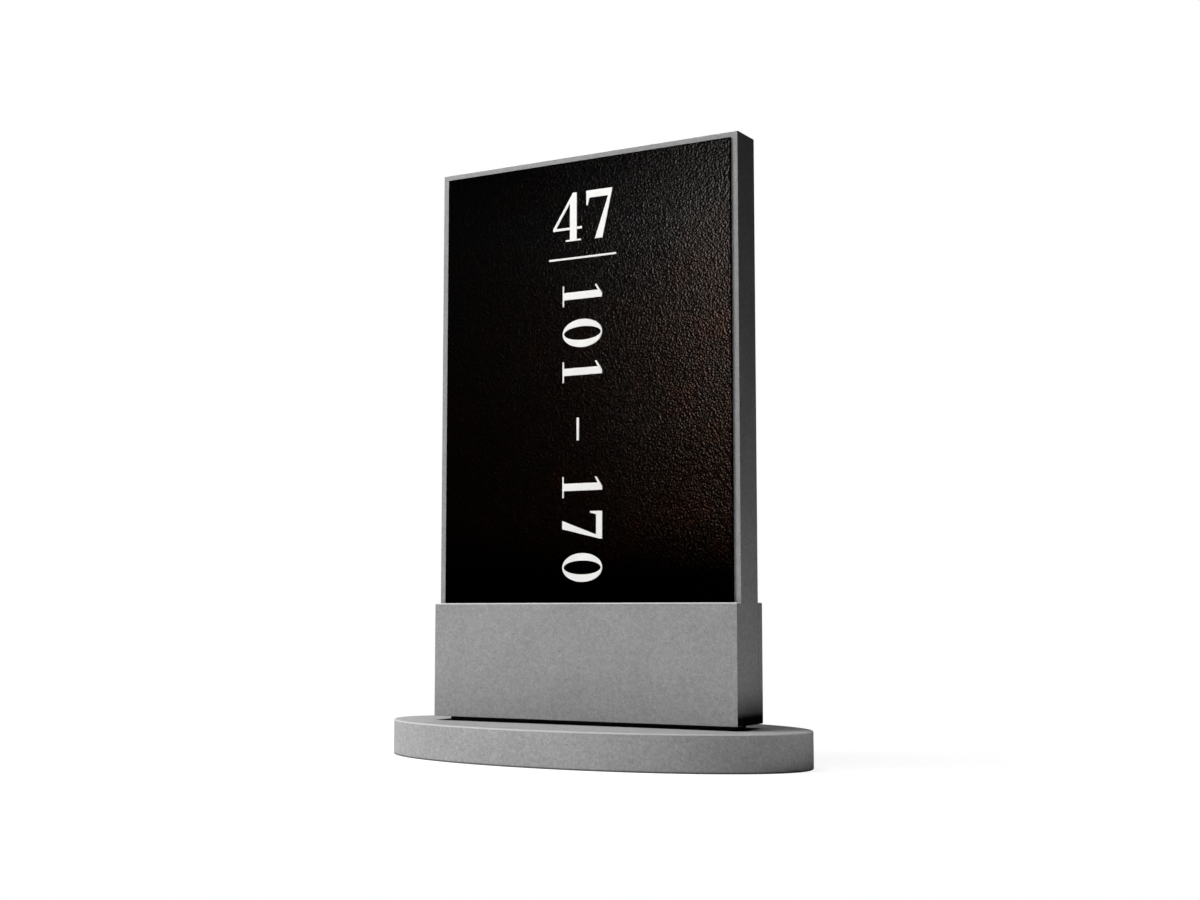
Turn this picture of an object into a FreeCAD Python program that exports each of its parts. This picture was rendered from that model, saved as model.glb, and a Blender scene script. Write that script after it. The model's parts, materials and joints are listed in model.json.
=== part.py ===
import FreeCAD, Part
import os
import re
import Sketcher

# Street number plinth sign: a two-sided blade on a plinth, standing on an oval concrete slab.
# X runs along the face, Y through the sign with the front at -Y, Z is up.
# The origin is the middle of the slab's underside. All sizes are in millimetres.

os.makedirs("parts", exist_ok=True)
doc = FreeCAD.newDocument("PlinthSign")
sheet = doc.addObject("Spreadsheet::Sheet", "Dimensions")

SIZES = {
    # overall shape
    "sign_width": 900,
    "blade_depth": 97,
    "blade_rise": 1181,
    "plinth_depth": 146,
    "plinth_height": 300,
    "shadow_gap": 11,
    "edge_radius": 2,
    # oval base slab
    "slab_length": 1210,
    "slab_width": 544,
    "slab_thickness": 93,
    "slab_rim_radius": 4,
    "slab_foot_bevel": 3,
    "pin_spacing_long": 700,
    "pin_spacing_cross": 200,
    "pin_hole_radius": 11,
    "pin_hole_depth": 55,
    # recessed foot and its anchors
    "foot_inset": 30,
    "pad_thickness": 3,
    "plate_thickness": 12,
    "plate_corner_radius": 8,
    "anchor_radius": 8,
    "anchor_offset": 60,
    "anchor_board_gap": 1.5,
    "anchor_hole_play": 1,
    "anchor_embedment": 42,
    "anchor_head_room": 5,
    "ferrule_radius": 13,
    "ferrule_length": 55,
    "washer_radius": 15,
    "washer_thickness": 3,
    "nut_across_flats": 24,
    "nut_height": 13,
    # steel frame
    "tube_breadth": 50,
    "tube_wall": 3,
    "tube_corner": 6,
    "cheek_standoff": 20,
    "post_head_gap": 8,
    "plug_lid": 3,
    "plug_depth": 16,
    "rail_drop": 40,
    "rail_head": 35,
    "gusset_reach": 70,
    "gusset_height": 90,
    "gusset_thickness": 8,
    "gusset_nose": 12,
    # cheeks, cap and boards
    "cheek_thickness": 20,
    "cap_thickness": 17,
    "board_thickness": 11,
    "board_gap": 0.5,
    # bolts that hold the cheeks and the cap
    "bolt_radius": 4,
    "bolt_head_radius": 6.5,
    "bolt_head_height": 8,
    "bolt_hole_play": 0.5,
    "bolt_bite": 11,
    "spacer_radius": 10,
    "insert_radius": 7,
    "insert_length": 12,
    # screws that hold the boards
    "screw_radius": 3,
    "screw_head_radius": 6,
    "screw_head_land": 0.4,
    "screw_recess": 0.2,
    "screw_length": 24,
    # push-fit clips
    "stud_radius": 3,
    "stud_reach": 13,
    "stud_nose": 1,
    "stud_base_radius": 12,
    "stud_base_height": 3,
    "bush_radius": 6,
    "bush_length": 16,
    "flange_radius": 9,
    "flange_height": 2,
    "clip_inset": 80,
    # face panels
    "panel_side_margin": 18,
    "panel_top_margin": 15,
    "panel_foot_gap": 1,
    "panel_thickness": 4,
    "panel_edge_radius": 0.8,
    "panel_seat": 0.3,
    # plinth covers
    "cover_wall": 10,
    "cover_return": 12,
    "cover_seat": 0.4,
    # clearances
    "fit_clearance": 0.1,
    "moving_clearance": 0.3,
    # flat-cut numerals
    "numeral_thickness": 2,
    "number_height": 130,
    "number_drop": 230,
    "number_spacing": 14,
    "divider_drop": 276,
    "divider_length": 205,
    "divider_height": 5,
    "range_height": 120,
    "range_drop": 349,
    "range_spacing": 36,
    "range_foot_gap": 54,
    "stem_share": 0.16,
    "hairline_share": 0.035,
}

SCREW_ROWS = 5
CLIP_ROWS = 4
PLINTH_BOLT_SHARE = 0.4
BLADE_BOLT_SHARES = (0.25, 0.75)
COVER_CLIP_SHARES = (0.2, 0.7)

for row, (name, number) in enumerate(SIZES.items(), 1):
    sheet.set("A%d" % row, name)
    sheet.set("B%d" % row, str(number))
    sheet.setAlias("B%d" % row, name)
doc.recompute()

# Heights and places worked out from the sizes
plinth_low = "(slab_thickness + shadow_gap)"
plinth_top = f"({plinth_low} + plinth_height)"
sign_top = f"({plinth_top} + blade_rise)"
cap_low = f"({sign_top} - cap_thickness)"
plate_low = "(slab_thickness + pad_thickness)"
plate_top = f"({plate_low} + plate_thickness)"
plate_half_length = "(sign_width / 2 - foot_inset)"
plate_half_depth = "(plinth_depth / 2 - foot_inset)"
frame_depth = "(blade_depth - 2 * board_thickness)"
cheek_inner = "(sign_width / 2 - cheek_thickness)"
post_outer = f"({cheek_inner} - cheek_standoff)"
post_centre = f"({post_outer} - tube_breadth / 2)"
post_inner = f"({post_outer} - tube_breadth)"
post_top = f"({cap_low} - post_head_gap)"
lower_rail_height = f"({plinth_top} - rail_drop)"
middle_rail_height = f"({plinth_top} + blade_rise / 2)"
top_rail_height = f"({post_top} - rail_head)"
anchor_across = f"({post_inner} - anchor_offset)"
anchor_deep = f"({frame_depth} / 2 - washer_radius - anchor_board_gap)"
board_low = f"({lower_rail_height} - tube_breadth / 2)"
board_high = f"({cap_low} - board_gap)"
cover_depth = "((plinth_depth - blade_depth) / 2 - cover_seat)"
cap_bolt_across = f"({cheek_inner} / 2)"
panel_low = f"({plinth_top} + panel_foot_gap)"
panel_front = "(blade_depth / 2 + panel_seat + panel_thickness)"

FOUR_CORNERS = ((-1, -1), (1, -1), (-1, 1), (1, 1))
ANCHORS = [(f"{a} * {anchor_across}", f"{b} * {anchor_deep}") for a, b in FOUR_CORNERS]
GROUND_PINS = [(f"{a} * pin_spacing_long / 2", f"{b} * pin_spacing_cross / 2") for a, b in FOUR_CORNERS]
CHEEK_BOLT_HEIGHTS = [f"({plinth_low} + plinth_height * {PLINTH_BOLT_SHARE})"]
CHEEK_BOLT_HEIGHTS += [f"({plinth_top} + blade_rise * {share})" for share in BLADE_BOLT_SHARES]
SCREWS = [
    (f"{a} * {post_centre}", f"({board_low} + ({board_high} - {board_low}) * {(k + 0.5) / SCREW_ROWS})")
    for a in (-1, 1)
    for k in range(SCREW_ROWS)
]
PANEL_CLIPS = [
    (f"{a} * ({post_inner} - clip_inset)", f"({plinth_top} + blade_rise * {(k + 0.5) / CLIP_ROWS})")
    for a in (-1, 1)
    for k in range(CLIP_ROWS)
]
COVER_CLIPS = [
    (f"{a} * {post_centre}", f"({plinth_low} + plinth_height * {share})")
    for a in (-1, 1)
    for share in COVER_CLIP_SHARES
]


def formula(text):
    """The text with each size's name made a reference to its cell."""
    return re.sub("[a-z_]+", lambda word: "Dimensions." * (word.group() in SIZES) + word.group(), text)


def value(text):
    """The number that a formula gives with the present sizes."""
    return float(sheet.evalExpression(formula(text)))


# Bodies, sketches and features
finished = []


def new_body(label, x="0", y="0", z="0", turn=0):
    """Starts a sub-part whose place is worked out from the sizes; turn is its angle about Z."""
    body = doc.addObject("PartDesign::Body", label)
    body.Label = label
    body.Placement = FreeCAD.Placement(FreeCAD.Vector(), FreeCAD.Rotation(FreeCAD.Vector(0, 0, 1), turn))
    for axis, text in zip("xyz", (x, y, z)):
        body.setExpression("Placement.Base." + axis, formula(text))
    finished.append(body)
    return body


def origin_plane(body, role):
    return next(plane for plane in body.Origin.OriginFeatures if plane.Role == role)


def new_sketch(body, role, lift="0"):
    """Starts a sketch on one of the body's own planes, lifted along the plane's normal."""
    sketch = body.newObject("Sketcher::SketchObject", body.Label + "_outline")
    sketch.AttachmentSupport = (origin_plane(body, role), [""])
    sketch.MapMode = "FlatFace"
    sketch.setExpression("AttachmentOffset.Base.z", formula(lift))
    return sketch


def bind_constraints(sketch, constraints):
    """Adds pairs of a constraint and the formula that drives it."""
    numbers = sketch.addConstraint([constraint for constraint, text in constraints])
    for number, (constraint, text) in zip(numbers, constraints):
        sketch.setExpression("Constraints[%d]" % number, formula(text))


def held_point(geometry, point, x, y):
    """The two constraints that hold a sketch point at a worked-out place."""
    across = Sketcher.Constraint("DistanceX", -1, 1, geometry, point, value(x))
    along = Sketcher.Constraint("DistanceY", -1, 1, geometry, point, value(y))
    return [(across, x), (along, y)]


def add_polygon(sketch, corners):
    """Draws a closed outline of straight lines through pairs of formulas."""
    places = [FreeCAD.Vector(value(x), value(y), 0) for x, y in corners]
    following = places[1:] + places[:1]
    lines = [Part.LineSegment(start, end) for start, end in zip(places, following)]
    first = sketch.GeometryCount
    sketch.addGeometry(lines, False)
    count = len(corners)
    joins = [(first + n, first + (n + 1) % count) for n in range(count)]
    sketch.addConstraint([Sketcher.Constraint("Coincident", one, 2, other, 1) for one, other in joins])
    held = [held_point(first + n, 1, x, y) for n, (x, y) in enumerate(corners)]
    bind_constraints(sketch, sum(held, []))


def add_rectangle(sketch, left, right, low, high):
    add_polygon(sketch, [(left, low), (right, low), (right, high), (left, high)])


def add_circles(sketch, places, radius):
    """Draws a circle of the same radius at each place."""
    for x, y in places:
        centre = FreeCAD.Vector(value(x), value(y), 0)
        circle = Part.Circle(centre, FreeCAD.Vector(0, 0, 1), value(radius))
        number = sketch.addGeometry(circle, False)
        sized = [(Sketcher.Constraint("Radius", number, value(radius)), radius)]
        bind_constraints(sketch, held_point(number, 3, x, y) + sized)


def add_ellipse(sketch, x, y, across, along):
    """Draws an ellipse with its full sizes across and along the sketch."""
    middle = FreeCAD.Vector(value(x), value(y), 0)
    half_across = FreeCAD.Vector(value(across) / 2, 0, 0)
    half_along = FreeCAD.Vector(0, value(along) / 2, 0)
    ends = [(half_across, across), (half_along, along)]
    major, minor = sorted(ends, key=lambda end: -end[0].Length)
    number = sketch.addGeometry(Part.Ellipse(middle + major[0], middle + minor[0], middle), False)
    sketch.exposeInternalGeometry(number)
    lies = "Horizontal" if major[0].x else "Vertical"
    sketch.addConstraint(Sketcher.Constraint(lies, number + 1))
    long_axis = (Sketcher.Constraint("Distance", number + 1, 2 * major[0].Length), major[1])
    short_axis = (Sketcher.Constraint("Distance", number + 2, 2 * minor[0].Length), minor[1])
    bind_constraints(sketch, held_point(number, 3, x, y) + [long_axis, short_axis])


def add_feature(body, kind, sketch, length, reverse, both_ways):
    feature = body.newObject("PartDesign::" + kind, body.Label + "_" + kind.lower())
    feature.Profile = sketch
    feature.setExpression("Length", formula(length))
    feature.Reversed = reverse
    feature.SideType = "Symmetric" if both_ways else "One side"
    doc.recompute()


def pad(body, sketch, length, reverse=False, both_ways=False):
    add_feature(body, "Pad", sketch, length, reverse, both_ways)


def pocket(body, sketch, length, reverse=False, both_ways=False):
    """Cuts the sketch out of the body and stops if nothing was cut."""
    before = body.Shape.Volume
    add_feature(body, "Pocket", sketch, length, reverse, both_ways)
    if body.Shape.Volume > before * (1 - 1e-7):
        raise RuntimeError(body.Label + ": a pocket cut nothing")


def dress_edges(body, kind, size, wanted):
    """Rounds (Fillet) or bevels (Chamfer) the edges that the test picks on the body so far."""
    base = body.Tip
    names = ["Edge%d" % n for n, edge in enumerate(base.Shape.Edges, 1) if wanted(edge)]
    if not names:
        raise RuntimeError(body.Label + ": no edge to dress")
    feature = body.newObject("PartDesign::" + kind, body.Label + "_" + kind.lower())
    feature.Base = (base, names)
    feature.setExpression("Radius" if kind == "Fillet" else "Size", formula(size))
    doc.recompute()


def mirror(body, role):
    """Repeats all of the body's features on the other side of one of its planes."""
    feature = body.newObject("PartDesign::Mirrored", body.Label + "_mirrored")
    feature.Originals = [part for part in body.Group if part.TypeId == "PartDesign::Pad"]
    feature.MirrorPlane = (origin_plane(body, role), [""])
    body.Tip = feature
    doc.recompute()


def lies_at(axis, text):
    """A test for edges that lie wholly at one coordinate."""
    place = value(text)

    def test(edge):
        box = edge.BoundBox
        return abs(getattr(box, axis + "Min") - place) < 1e-4 > abs(getattr(box, axis + "Max") - place)

    return test


def runs_along(axis):
    """A test for straight edges along one axis."""

    def test(edge):
        box = edge.BoundBox
        spans = {"X": box.XLength, "Y": box.YLength, "Z": box.ZLength}
        along = spans.pop(axis)
        return along > 1e-4 > max(spans.values())

    return test


# Base slab and the anchors cast into it
def make_base_slab():
    body = new_body("base_slab")
    outline = new_sketch(body, "XY_Plane")
    add_ellipse(outline, "0", "0", "slab_length", "slab_width")
    pad(body, outline, "slab_thickness")
    dress_edges(body, "Fillet", "slab_rim_radius", lies_at("Z", "slab_thickness"))
    dress_edges(body, "Chamfer", "slab_foot_bevel", lies_at("Z", "0"))
    sockets = new_sketch(body, "XY_Plane", "slab_thickness")
    add_circles(sockets, ANCHORS, "ferrule_radius + fit_clearance")
    pocket(body, sockets, "ferrule_length + fit_clearance")
    pin_holes = new_sketch(body, "XY_Plane")
    add_circles(pin_holes, GROUND_PINS, "pin_hole_radius")
    pocket(body, pin_holes, "pin_hole_depth", reverse=True)


def make_anchor_ferrules():
    body = new_body("anchor_ferrules", z="slab_thickness - ferrule_length")
    outline = new_sketch(body, "XY_Plane")
    add_circles(outline, ANCHORS, "ferrule_radius")
    pad(body, outline, "ferrule_length")
    bores = new_sketch(body, "XY_Plane", "ferrule_length")
    add_circles(bores, ANCHORS, "anchor_radius + fit_clearance")
    pocket(body, bores, "anchor_embedment + fit_clearance")


def make_foot_plate(label, low, thickness):
    """The bedding pad and the base plate share one outline and one set of anchor holes."""
    body = new_body(label, z=low)
    outline = new_sketch(body, "XY_Plane")
    left, right = "-" + plate_half_length, plate_half_length
    add_rectangle(outline, left, right, "-" + plate_half_depth, plate_half_depth)
    add_circles(outline, ANCHORS, "anchor_radius + anchor_hole_play")
    pad(body, outline, thickness)
    dress_edges(body, "Fillet", "plate_corner_radius", runs_along("Z"))


def make_anchor_studs():
    body = new_body("anchor_studs", z="slab_thickness - anchor_embedment")
    outline = new_sketch(body, "XY_Plane")
    add_circles(outline, ANCHORS, "anchor_radius")
    shown = f"{plate_top} + washer_thickness + nut_height + anchor_head_room"
    pad(body, outline, f"{shown} - slab_thickness + anchor_embedment")
    dress_edges(body, "Chamfer", "stud_nose", lies_at("Z", f"{shown} - slab_thickness + anchor_embedment"))


def make_anchor_washers():
    body = new_body("anchor_washers", z=plate_top)
    outline = new_sketch(body, "XY_Plane")
    add_circles(outline, ANCHORS, "washer_radius")
    add_circles(outline, ANCHORS, "anchor_radius + anchor_hole_play / 2")
    pad(body, outline, "washer_thickness")


def make_anchor_nuts():
    body = new_body("anchor_nuts", z=f"{plate_top} + washer_thickness")
    outline = new_sketch(body, "XY_Plane")
    half_flat = "nut_across_flats / 2"
    point, shoulder = "nut_across_flats / sqrt(3)", "nut_across_flats / sqrt(12)"
    turns = ((point, "0"), (shoulder, half_flat), (f"-{shoulder}", half_flat))
    turns += ((f"-{point}", "0"), (f"-{shoulder}", f"-{half_flat}"), (shoulder, f"-{half_flat}"))
    for x, y in ANCHORS:
        add_polygon(outline, [(f"{x} + {across}", f"{y} + {along}") for across, along in turns])
    add_circles(outline, ANCHORS, "anchor_radius + fit_clearance")
    pad(body, outline, "nut_height")


# Steel frame
def add_tube_outline(sketch, half_across, half_along):
    """A rectangular tube's section, centred on the sketch."""
    for inset in ("0", "tube_wall"):
        across, along = f"({half_across} - {inset})", f"({half_along} - {inset})"
        add_rectangle(sketch, f"-{across}", across, f"-{along}", along)


def round_tube(body, axis, half_across, across_axis):
    """Rounds a tube's outer edges, then its inner ones."""
    outer = value(half_across)
    long_edge = runs_along(axis)

    def is_outer(edge):
        return long_edge(edge) and abs(getattr(edge.BoundBox.Center, across_axis)) > outer - 1e-4

    def is_inner(edge):
        reach = abs(getattr(edge.BoundBox.Center, across_axis))
        return long_edge(edge) and abs(reach - value(f"{half_across} - tube_wall")) < 1e-4

    dress_edges(body, "Fillet", "tube_corner", is_outer)
    dress_edges(body, "Fillet", "tube_corner - tube_wall", is_inner)


def make_post(label, side):
    """A post runs from the base plate to just under the cap, drilled for screws, clips and cheek bolts."""
    body = new_body(label, x=f"{side} * {post_centre}", z=plate_top)
    outline = new_sketch(body, "XY_Plane")
    add_tube_outline(outline, "tube_breadth / 2", f"{frame_depth} / 2")
    pad(body, outline, f"{post_top} - {plate_top}")
    round_tube(body, "Z", "tube_breadth / 2", "x")
    screw_holes = new_sketch(body, "XZ_Plane")
    screw_places = [("0", f"{height} - {plate_top}") for x, height in SCREWS[:SCREW_ROWS]]
    add_circles(screw_holes, screw_places, "screw_radius + fit_clearance")
    pocket(body, screw_holes, "2 * blade_depth", both_ways=True)
    clip_holes = new_sketch(body, "XZ_Plane")
    clip_places = [("0", f"{height} - {plate_top}") for x, height in COVER_CLIPS[: len(COVER_CLIP_SHARES)]]
    add_circles(clip_holes, clip_places, "bush_radius + fit_clearance")
    pocket(body, clip_holes, "2 * blade_depth", both_ways=True)
    bolt_holes = new_sketch(body, "YZ_Plane")
    bolt_places = [("0", f"{height} - {plate_top}") for height in CHEEK_BOLT_HEIGHTS]
    add_circles(bolt_holes, bolt_places, "bolt_radius + bolt_hole_play")
    pocket(body, bolt_holes, "2 * tube_breadth", both_ways=True)


def make_rail(label, height):
    body = new_body(label, z=height)
    outline = new_sketch(body, "YZ_Plane")
    add_tube_outline(outline, f"{frame_depth} / 2", "tube_breadth / 2")
    pad(body, outline, f"2 * {post_inner}", both_ways=True)
    round_tube(body, "X", f"{frame_depth} / 2", "y")
    return body


def make_top_rail():
    """The top rail is drilled upright for the bolts that hold the cap."""
    body = make_rail("top_rail", top_rail_height)
    bolt_holes = new_sketch(body, "XY_Plane")
    places = [(f"{side} * {cap_bolt_across}", "0") for side in (-1, 1)]
    add_circles(bolt_holes, places, "bolt_radius + bolt_hole_play")
    pocket(body, bolt_holes, "2 * tube_breadth", both_ways=True)


def make_post_gussets():
    body = new_body("post_gussets", z=plate_top)
    outline = new_sketch(body, "XZ_Plane")
    toe = f"({post_inner} - gusset_reach)"
    corners = [(toe, "gusset_nose"), (toe, "0"), (post_inner, "0"), (post_inner, "gusset_height")]
    corners += [(f"{post_inner} - gusset_nose", "gusset_height")]
    add_polygon(outline, corners)
    pad(body, outline, "gusset_thickness", both_ways=True)
    mirror(body, "YZ_Plane")


def make_post_plugs():
    """Plugs close the open heads of the posts."""
    body = new_body("post_plugs", z=post_top)
    lid = new_sketch(body, "XY_Plane")
    half_depth = f"({frame_depth} / 2)"
    add_rectangle(lid, post_inner, post_outer, f"-{half_depth}", half_depth)
    pad(body, lid, "plug_lid")
    stem = new_sketch(body, "XY_Plane")
    inset = "(tube_corner + fit_clearance)"
    left, right = f"{post_inner} + {inset}", f"{post_outer} - {inset}"
    add_rectangle(stem, left, right, f"-({half_depth} - {inset})", f"{half_depth} - {inset}")
    pad(body, stem, "plug_depth", reverse=True)
    mirror(body, "YZ_Plane")


# Cheeks and cap
def make_cheek(label, side):
    """A full-depth side plank, mitred into the cap at its head."""
    body = new_body(label, z=plinth_low)
    outline = new_sketch(body, "XZ_Plane")
    inner, outer = f"{side} * {cheek_inner}", f"{side} * sign_width / 2"
    head, shoulder = f"{sign_top} - {plinth_low}", f"{cap_low} - {plinth_low}"
    add_polygon(outline, [(inner, "0"), (outer, "0"), (outer, head), (inner, shoulder)])
    pad(body, outline, "blade_depth", both_ways=True)
    at_outside = lies_at("X", outer)
    dress_edges(body, "Fillet", "edge_radius", lambda edge: at_outside(edge) and runs_along("Z")(edge))
    sockets = new_sketch(body, "YZ_Plane", inner)
    places = [("0", f"{height} - {plinth_low}") for height in CHEEK_BOLT_HEIGHTS]
    add_circles(sockets, places, "insert_radius + fit_clearance")
    pocket(body, sockets, "insert_length + fit_clearance", reverse=side > 0)


def make_top_cap():
    body = new_body("top_cap", z=cap_low)
    outline = new_sketch(body, "XZ_Plane")
    inner, outer = cheek_inner, "sign_width / 2"
    head = "cap_thickness"
    add_polygon(outline, [(f"-{inner}", "0"), (inner, "0"), (outer, head), (f"-{outer}", head)])
    pad(body, outline, "blade_depth", both_ways=True)
    at_head = lies_at("Z", head)
    dress_edges(body, "Fillet", "edge_radius", lambda edge: at_head(edge) and runs_along("X")(edge))
    sockets = new_sketch(body, "XY_Plane")
    places = [(f"{side} * {cap_bolt_across}", "0") for side in (-1, 1)]
    add_circles(sockets, places, "insert_radius + fit_clearance")
    pocket(body, sockets, "insert_length + fit_clearance", reverse=True)


def make_fixing_set(name, role, places, hold, seat, foot, mirrored):
    """Inserts, spacers and bolts in one row of places, all along the normal of one plane.

    hold is where the held piece begins, seat the near face of the frame and foot its far face."""
    lengths = (
        ("inserts", hold, "insert_length", "insert_radius"),
        ("spacers", seat, f"{hold} - {seat}", "spacer_radius"),
    )
    for kind, start, length, radius in lengths:
        body = new_body(f"{name}_{kind}")
        outline = new_sketch(body, role, start)
        add_circles(outline, places, radius)
        play = "fit_clearance" if kind == "inserts" else "bolt_hole_play"
        add_circles(outline, places, f"bolt_radius + {play}")
        pad(body, outline, length)
        if mirrored:
            mirror(body, "YZ_Plane")
    bolts = new_body(f"{name}_bolts")
    shank = new_sketch(bolts, role, foot)
    add_circles(shank, places, "bolt_radius")
    pad(bolts, shank, f"{hold} + bolt_bite - {foot}")
    head = new_sketch(bolts, role, foot)
    add_circles(head, places, "bolt_head_radius")
    pad(bolts, head, "bolt_head_height", reverse=True)
    if mirrored:
        mirror(bolts, "YZ_Plane")


def make_cheek_fixings():
    places = [("0", height) for height in CHEEK_BOLT_HEIGHTS]
    make_fixing_set("cheek", "YZ_Plane", places, cheek_inner, post_outer, post_inner, True)


def make_cap_fixings():
    places = [(f"{side} * {cap_bolt_across}", "0") for side in (-1, 1)]
    seat, foot = f"({top_rail_height} + tube_breadth / 2)", f"({top_rail_height} - tube_breadth / 2)"
    make_fixing_set("cap", "XY_Plane", places, cap_low, seat, foot, False)


# Pieces that the front and the rear face both have
def raised(places, low):
    """The places with their heights counted from a body's lower edge."""
    return [(x, f"{height} - {low}") for x, height in places]


def make_board(label, away, turn):
    """A backing board screwed to the frame from the lower rail up, with holes for the panel's clips."""
    body = new_body(label, y=f"{away} * {frame_depth} / 2", z=board_low, turn=turn)
    outline = new_sketch(body, "XZ_Plane")
    half = f"({cheek_inner} - board_gap)"
    add_rectangle(outline, f"-{half}", half, "0", f"{board_high} - {board_low}")
    clips = raised(PANEL_CLIPS, board_low)
    add_circles(outline, clips, "bush_radius + fit_clearance")
    add_circles(outline, raised(SCREWS, board_low), "screw_radius + fit_clearance")
    pad(body, outline, "board_thickness")
    seats = new_sketch(body, "XZ_Plane", "board_thickness")
    add_circles(seats, clips, "flange_radius + fit_clearance")
    pocket(body, seats, "flange_height + fit_clearance")
    hole = value("screw_radius + fit_clearance")
    at_face = lies_at("Y", "-board_thickness")

    def is_screw_hole(edge):
        return at_face(edge) and abs(edge.BoundBox.XLength / 2 - hole) < 1e-4

    sink = "screw_head_radius + screw_head_land + screw_recess - screw_radius"
    dress_edges(body, "Chamfer", sink, is_screw_hole)


def make_board_screws(label, away, turn):
    """Countersunk screws, seen head-on from outside, with the heads just under the board's face."""
    body = new_body(label, y=f"{away} * (blade_depth / 2 - screw_recess)", turn=turn)
    heads = new_sketch(body, "XZ_Plane")
    add_circles(heads, SCREWS, "screw_head_radius")
    cone = "screw_head_radius - screw_radius - fit_clearance"
    pad(body, heads, f"{cone} + screw_head_land", reverse=True)
    dress_edges(body, "Chamfer", cone, lies_at("Y", f"{cone} + screw_head_land"))
    shanks = new_sketch(body, "XZ_Plane")
    add_circles(shanks, SCREWS, "screw_radius")
    pad(body, shanks, "screw_length", reverse=True)


def make_bushes(label, away, turn, clips, face):
    """Flanged grip bushes that the studs push into; face is how far out the flanges reach."""
    body = new_body(label, y=f"{away} * {face}", turn=turn)
    for radius, length in (("flange_radius", "flange_height"), ("bush_radius", "bush_length")):
        outline = new_sketch(body, "XZ_Plane")
        add_circles(outline, clips, radius)
        pad(body, outline, length, reverse=True)
    bores = new_sketch(body, "XZ_Plane")
    add_circles(bores, clips, "stud_radius + moving_clearance")
    pocket(body, bores, "bush_length")


def make_face_panel(label, away, turn):
    body = new_body(label, y=f"{away} * (blade_depth / 2 + panel_seat)", z=panel_low, turn=turn)
    outline = new_sketch(body, "XZ_Plane")
    half = "(sign_width / 2 - panel_side_margin)"
    add_rectangle(outline, f"-{half}", half, "0", f"{sign_top} - panel_top_margin - {panel_low}")
    pad(body, outline, "panel_thickness")
    dress_edges(body, "Fillet", "panel_edge_radius", lies_at("Y", "-panel_thickness"))


def make_panel_studs(label, away, turn):
    """Pins welded to the back of the face panel."""
    body = new_body(label, y=f"{away} * (blade_depth / 2 + panel_seat)", turn=turn)
    outline = new_sketch(body, "XZ_Plane")
    add_circles(outline, PANEL_CLIPS, "stud_radius")
    pad(body, outline, "panel_seat + stud_reach", reverse=True)
    dress_edges(body, "Chamfer", "stud_nose", lies_at("Y", "panel_seat + stud_reach"))


def make_plinth_cover(label, away, turn):
    """A hollow tray that closes one side of the plinth, level with the cheeks at its ends."""
    body = new_body(label, y=f"{away} * (blade_depth / 2 + cover_seat)", z=plinth_low, turn=turn)
    outline = new_sketch(body, "XZ_Plane")
    add_rectangle(outline, "-sign_width / 2", "sign_width / 2", "0", "plinth_height")
    pad(body, outline, cover_depth)
    at_face = lies_at("Y", f"-{cover_depth}")
    deep = runs_along("Y")
    dress_edges(body, "Fillet", "edge_radius", lambda edge: at_face(edge) or deep(edge))
    hollow = new_sketch(body, "XZ_Plane")
    half = "(sign_width / 2 - cover_return)"
    add_rectangle(hollow, f"-{half}", half, "cover_return", "plinth_height - cover_return")
    pocket(body, hollow, f"{cover_depth} - cover_wall", reverse=True)


def make_cover_studs(label, away, turn):
    """Pins on round bases bonded inside the plinth cover."""
    body = new_body(label, y=f"{away} * (plinth_depth / 2 - cover_wall)", turn=turn)
    reach = f"(plinth_depth / 2 - cover_wall - {frame_depth} / 2 - flange_height + stud_reach)"
    bases = new_sketch(body, "XZ_Plane")
    add_circles(bases, COVER_CLIPS, "stud_base_radius")
    pad(body, bases, "stud_base_height", reverse=True)
    pins = new_sketch(body, "XZ_Plane")
    add_circles(pins, COVER_CLIPS, "stud_radius")
    pad(body, pins, reach, reverse=True)
    dress_edges(body, "Chamfer", "stud_nose", lies_at("Y", reach))


# Numerals: plain figures with thick stems and hairline serifs, drawn from the baseline's left end
ONE_SHARE = 0.46
SEVEN_SHARE = 0.60
FOUR_SHARE = 0.68
ZERO_SHARE = 0.62
DASH_SHARE = 0.50


def scaled(corners, height):
    """Corners given as shares of a figure's height, some with stems or hairlines in them."""
    return [(f"({u}) * {height}", f"({v}) * {height}") for u, v in corners]


def one_outline(height):
    left, right = f"({ONE_SHARE} - stem_share) / 2", f"({ONE_SHARE} + stem_share) / 2"
    foot = [("0", "0"), (ONE_SHARE, "0"), (ONE_SHARE, "hairline_share"), (right, "hairline_share")]
    tip, tip_top, tip_low, root = "0.02", "0.86", "0.82", "0.89"
    flag = [(right, "1"), (f"{left} + stem_share / 2", "1"), (tip, tip_top), (tip, tip_low), (left, root)]
    heel = [(left, "hairline_share"), ("0", "hairline_share")]
    return scaled(foot + flag + heel, height)


def seven_outline(height):
    bar, serif, foot, bar_end, throat = "0.85", "0.70", "0.20", "0.95", "0.09"
    stroke = [("0", "1"), (SEVEN_SHARE, "1"), (SEVEN_SHARE, bar_end), (f"{foot} + stem_share * 1.1", "0")]
    inside = [(foot, "0"), (f"{SEVEN_SHARE} - {throat}", bar), ("2 * hairline_share", bar)]
    return scaled(stroke + inside + [("hairline_share", serif), ("0", serif)], height)


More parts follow.
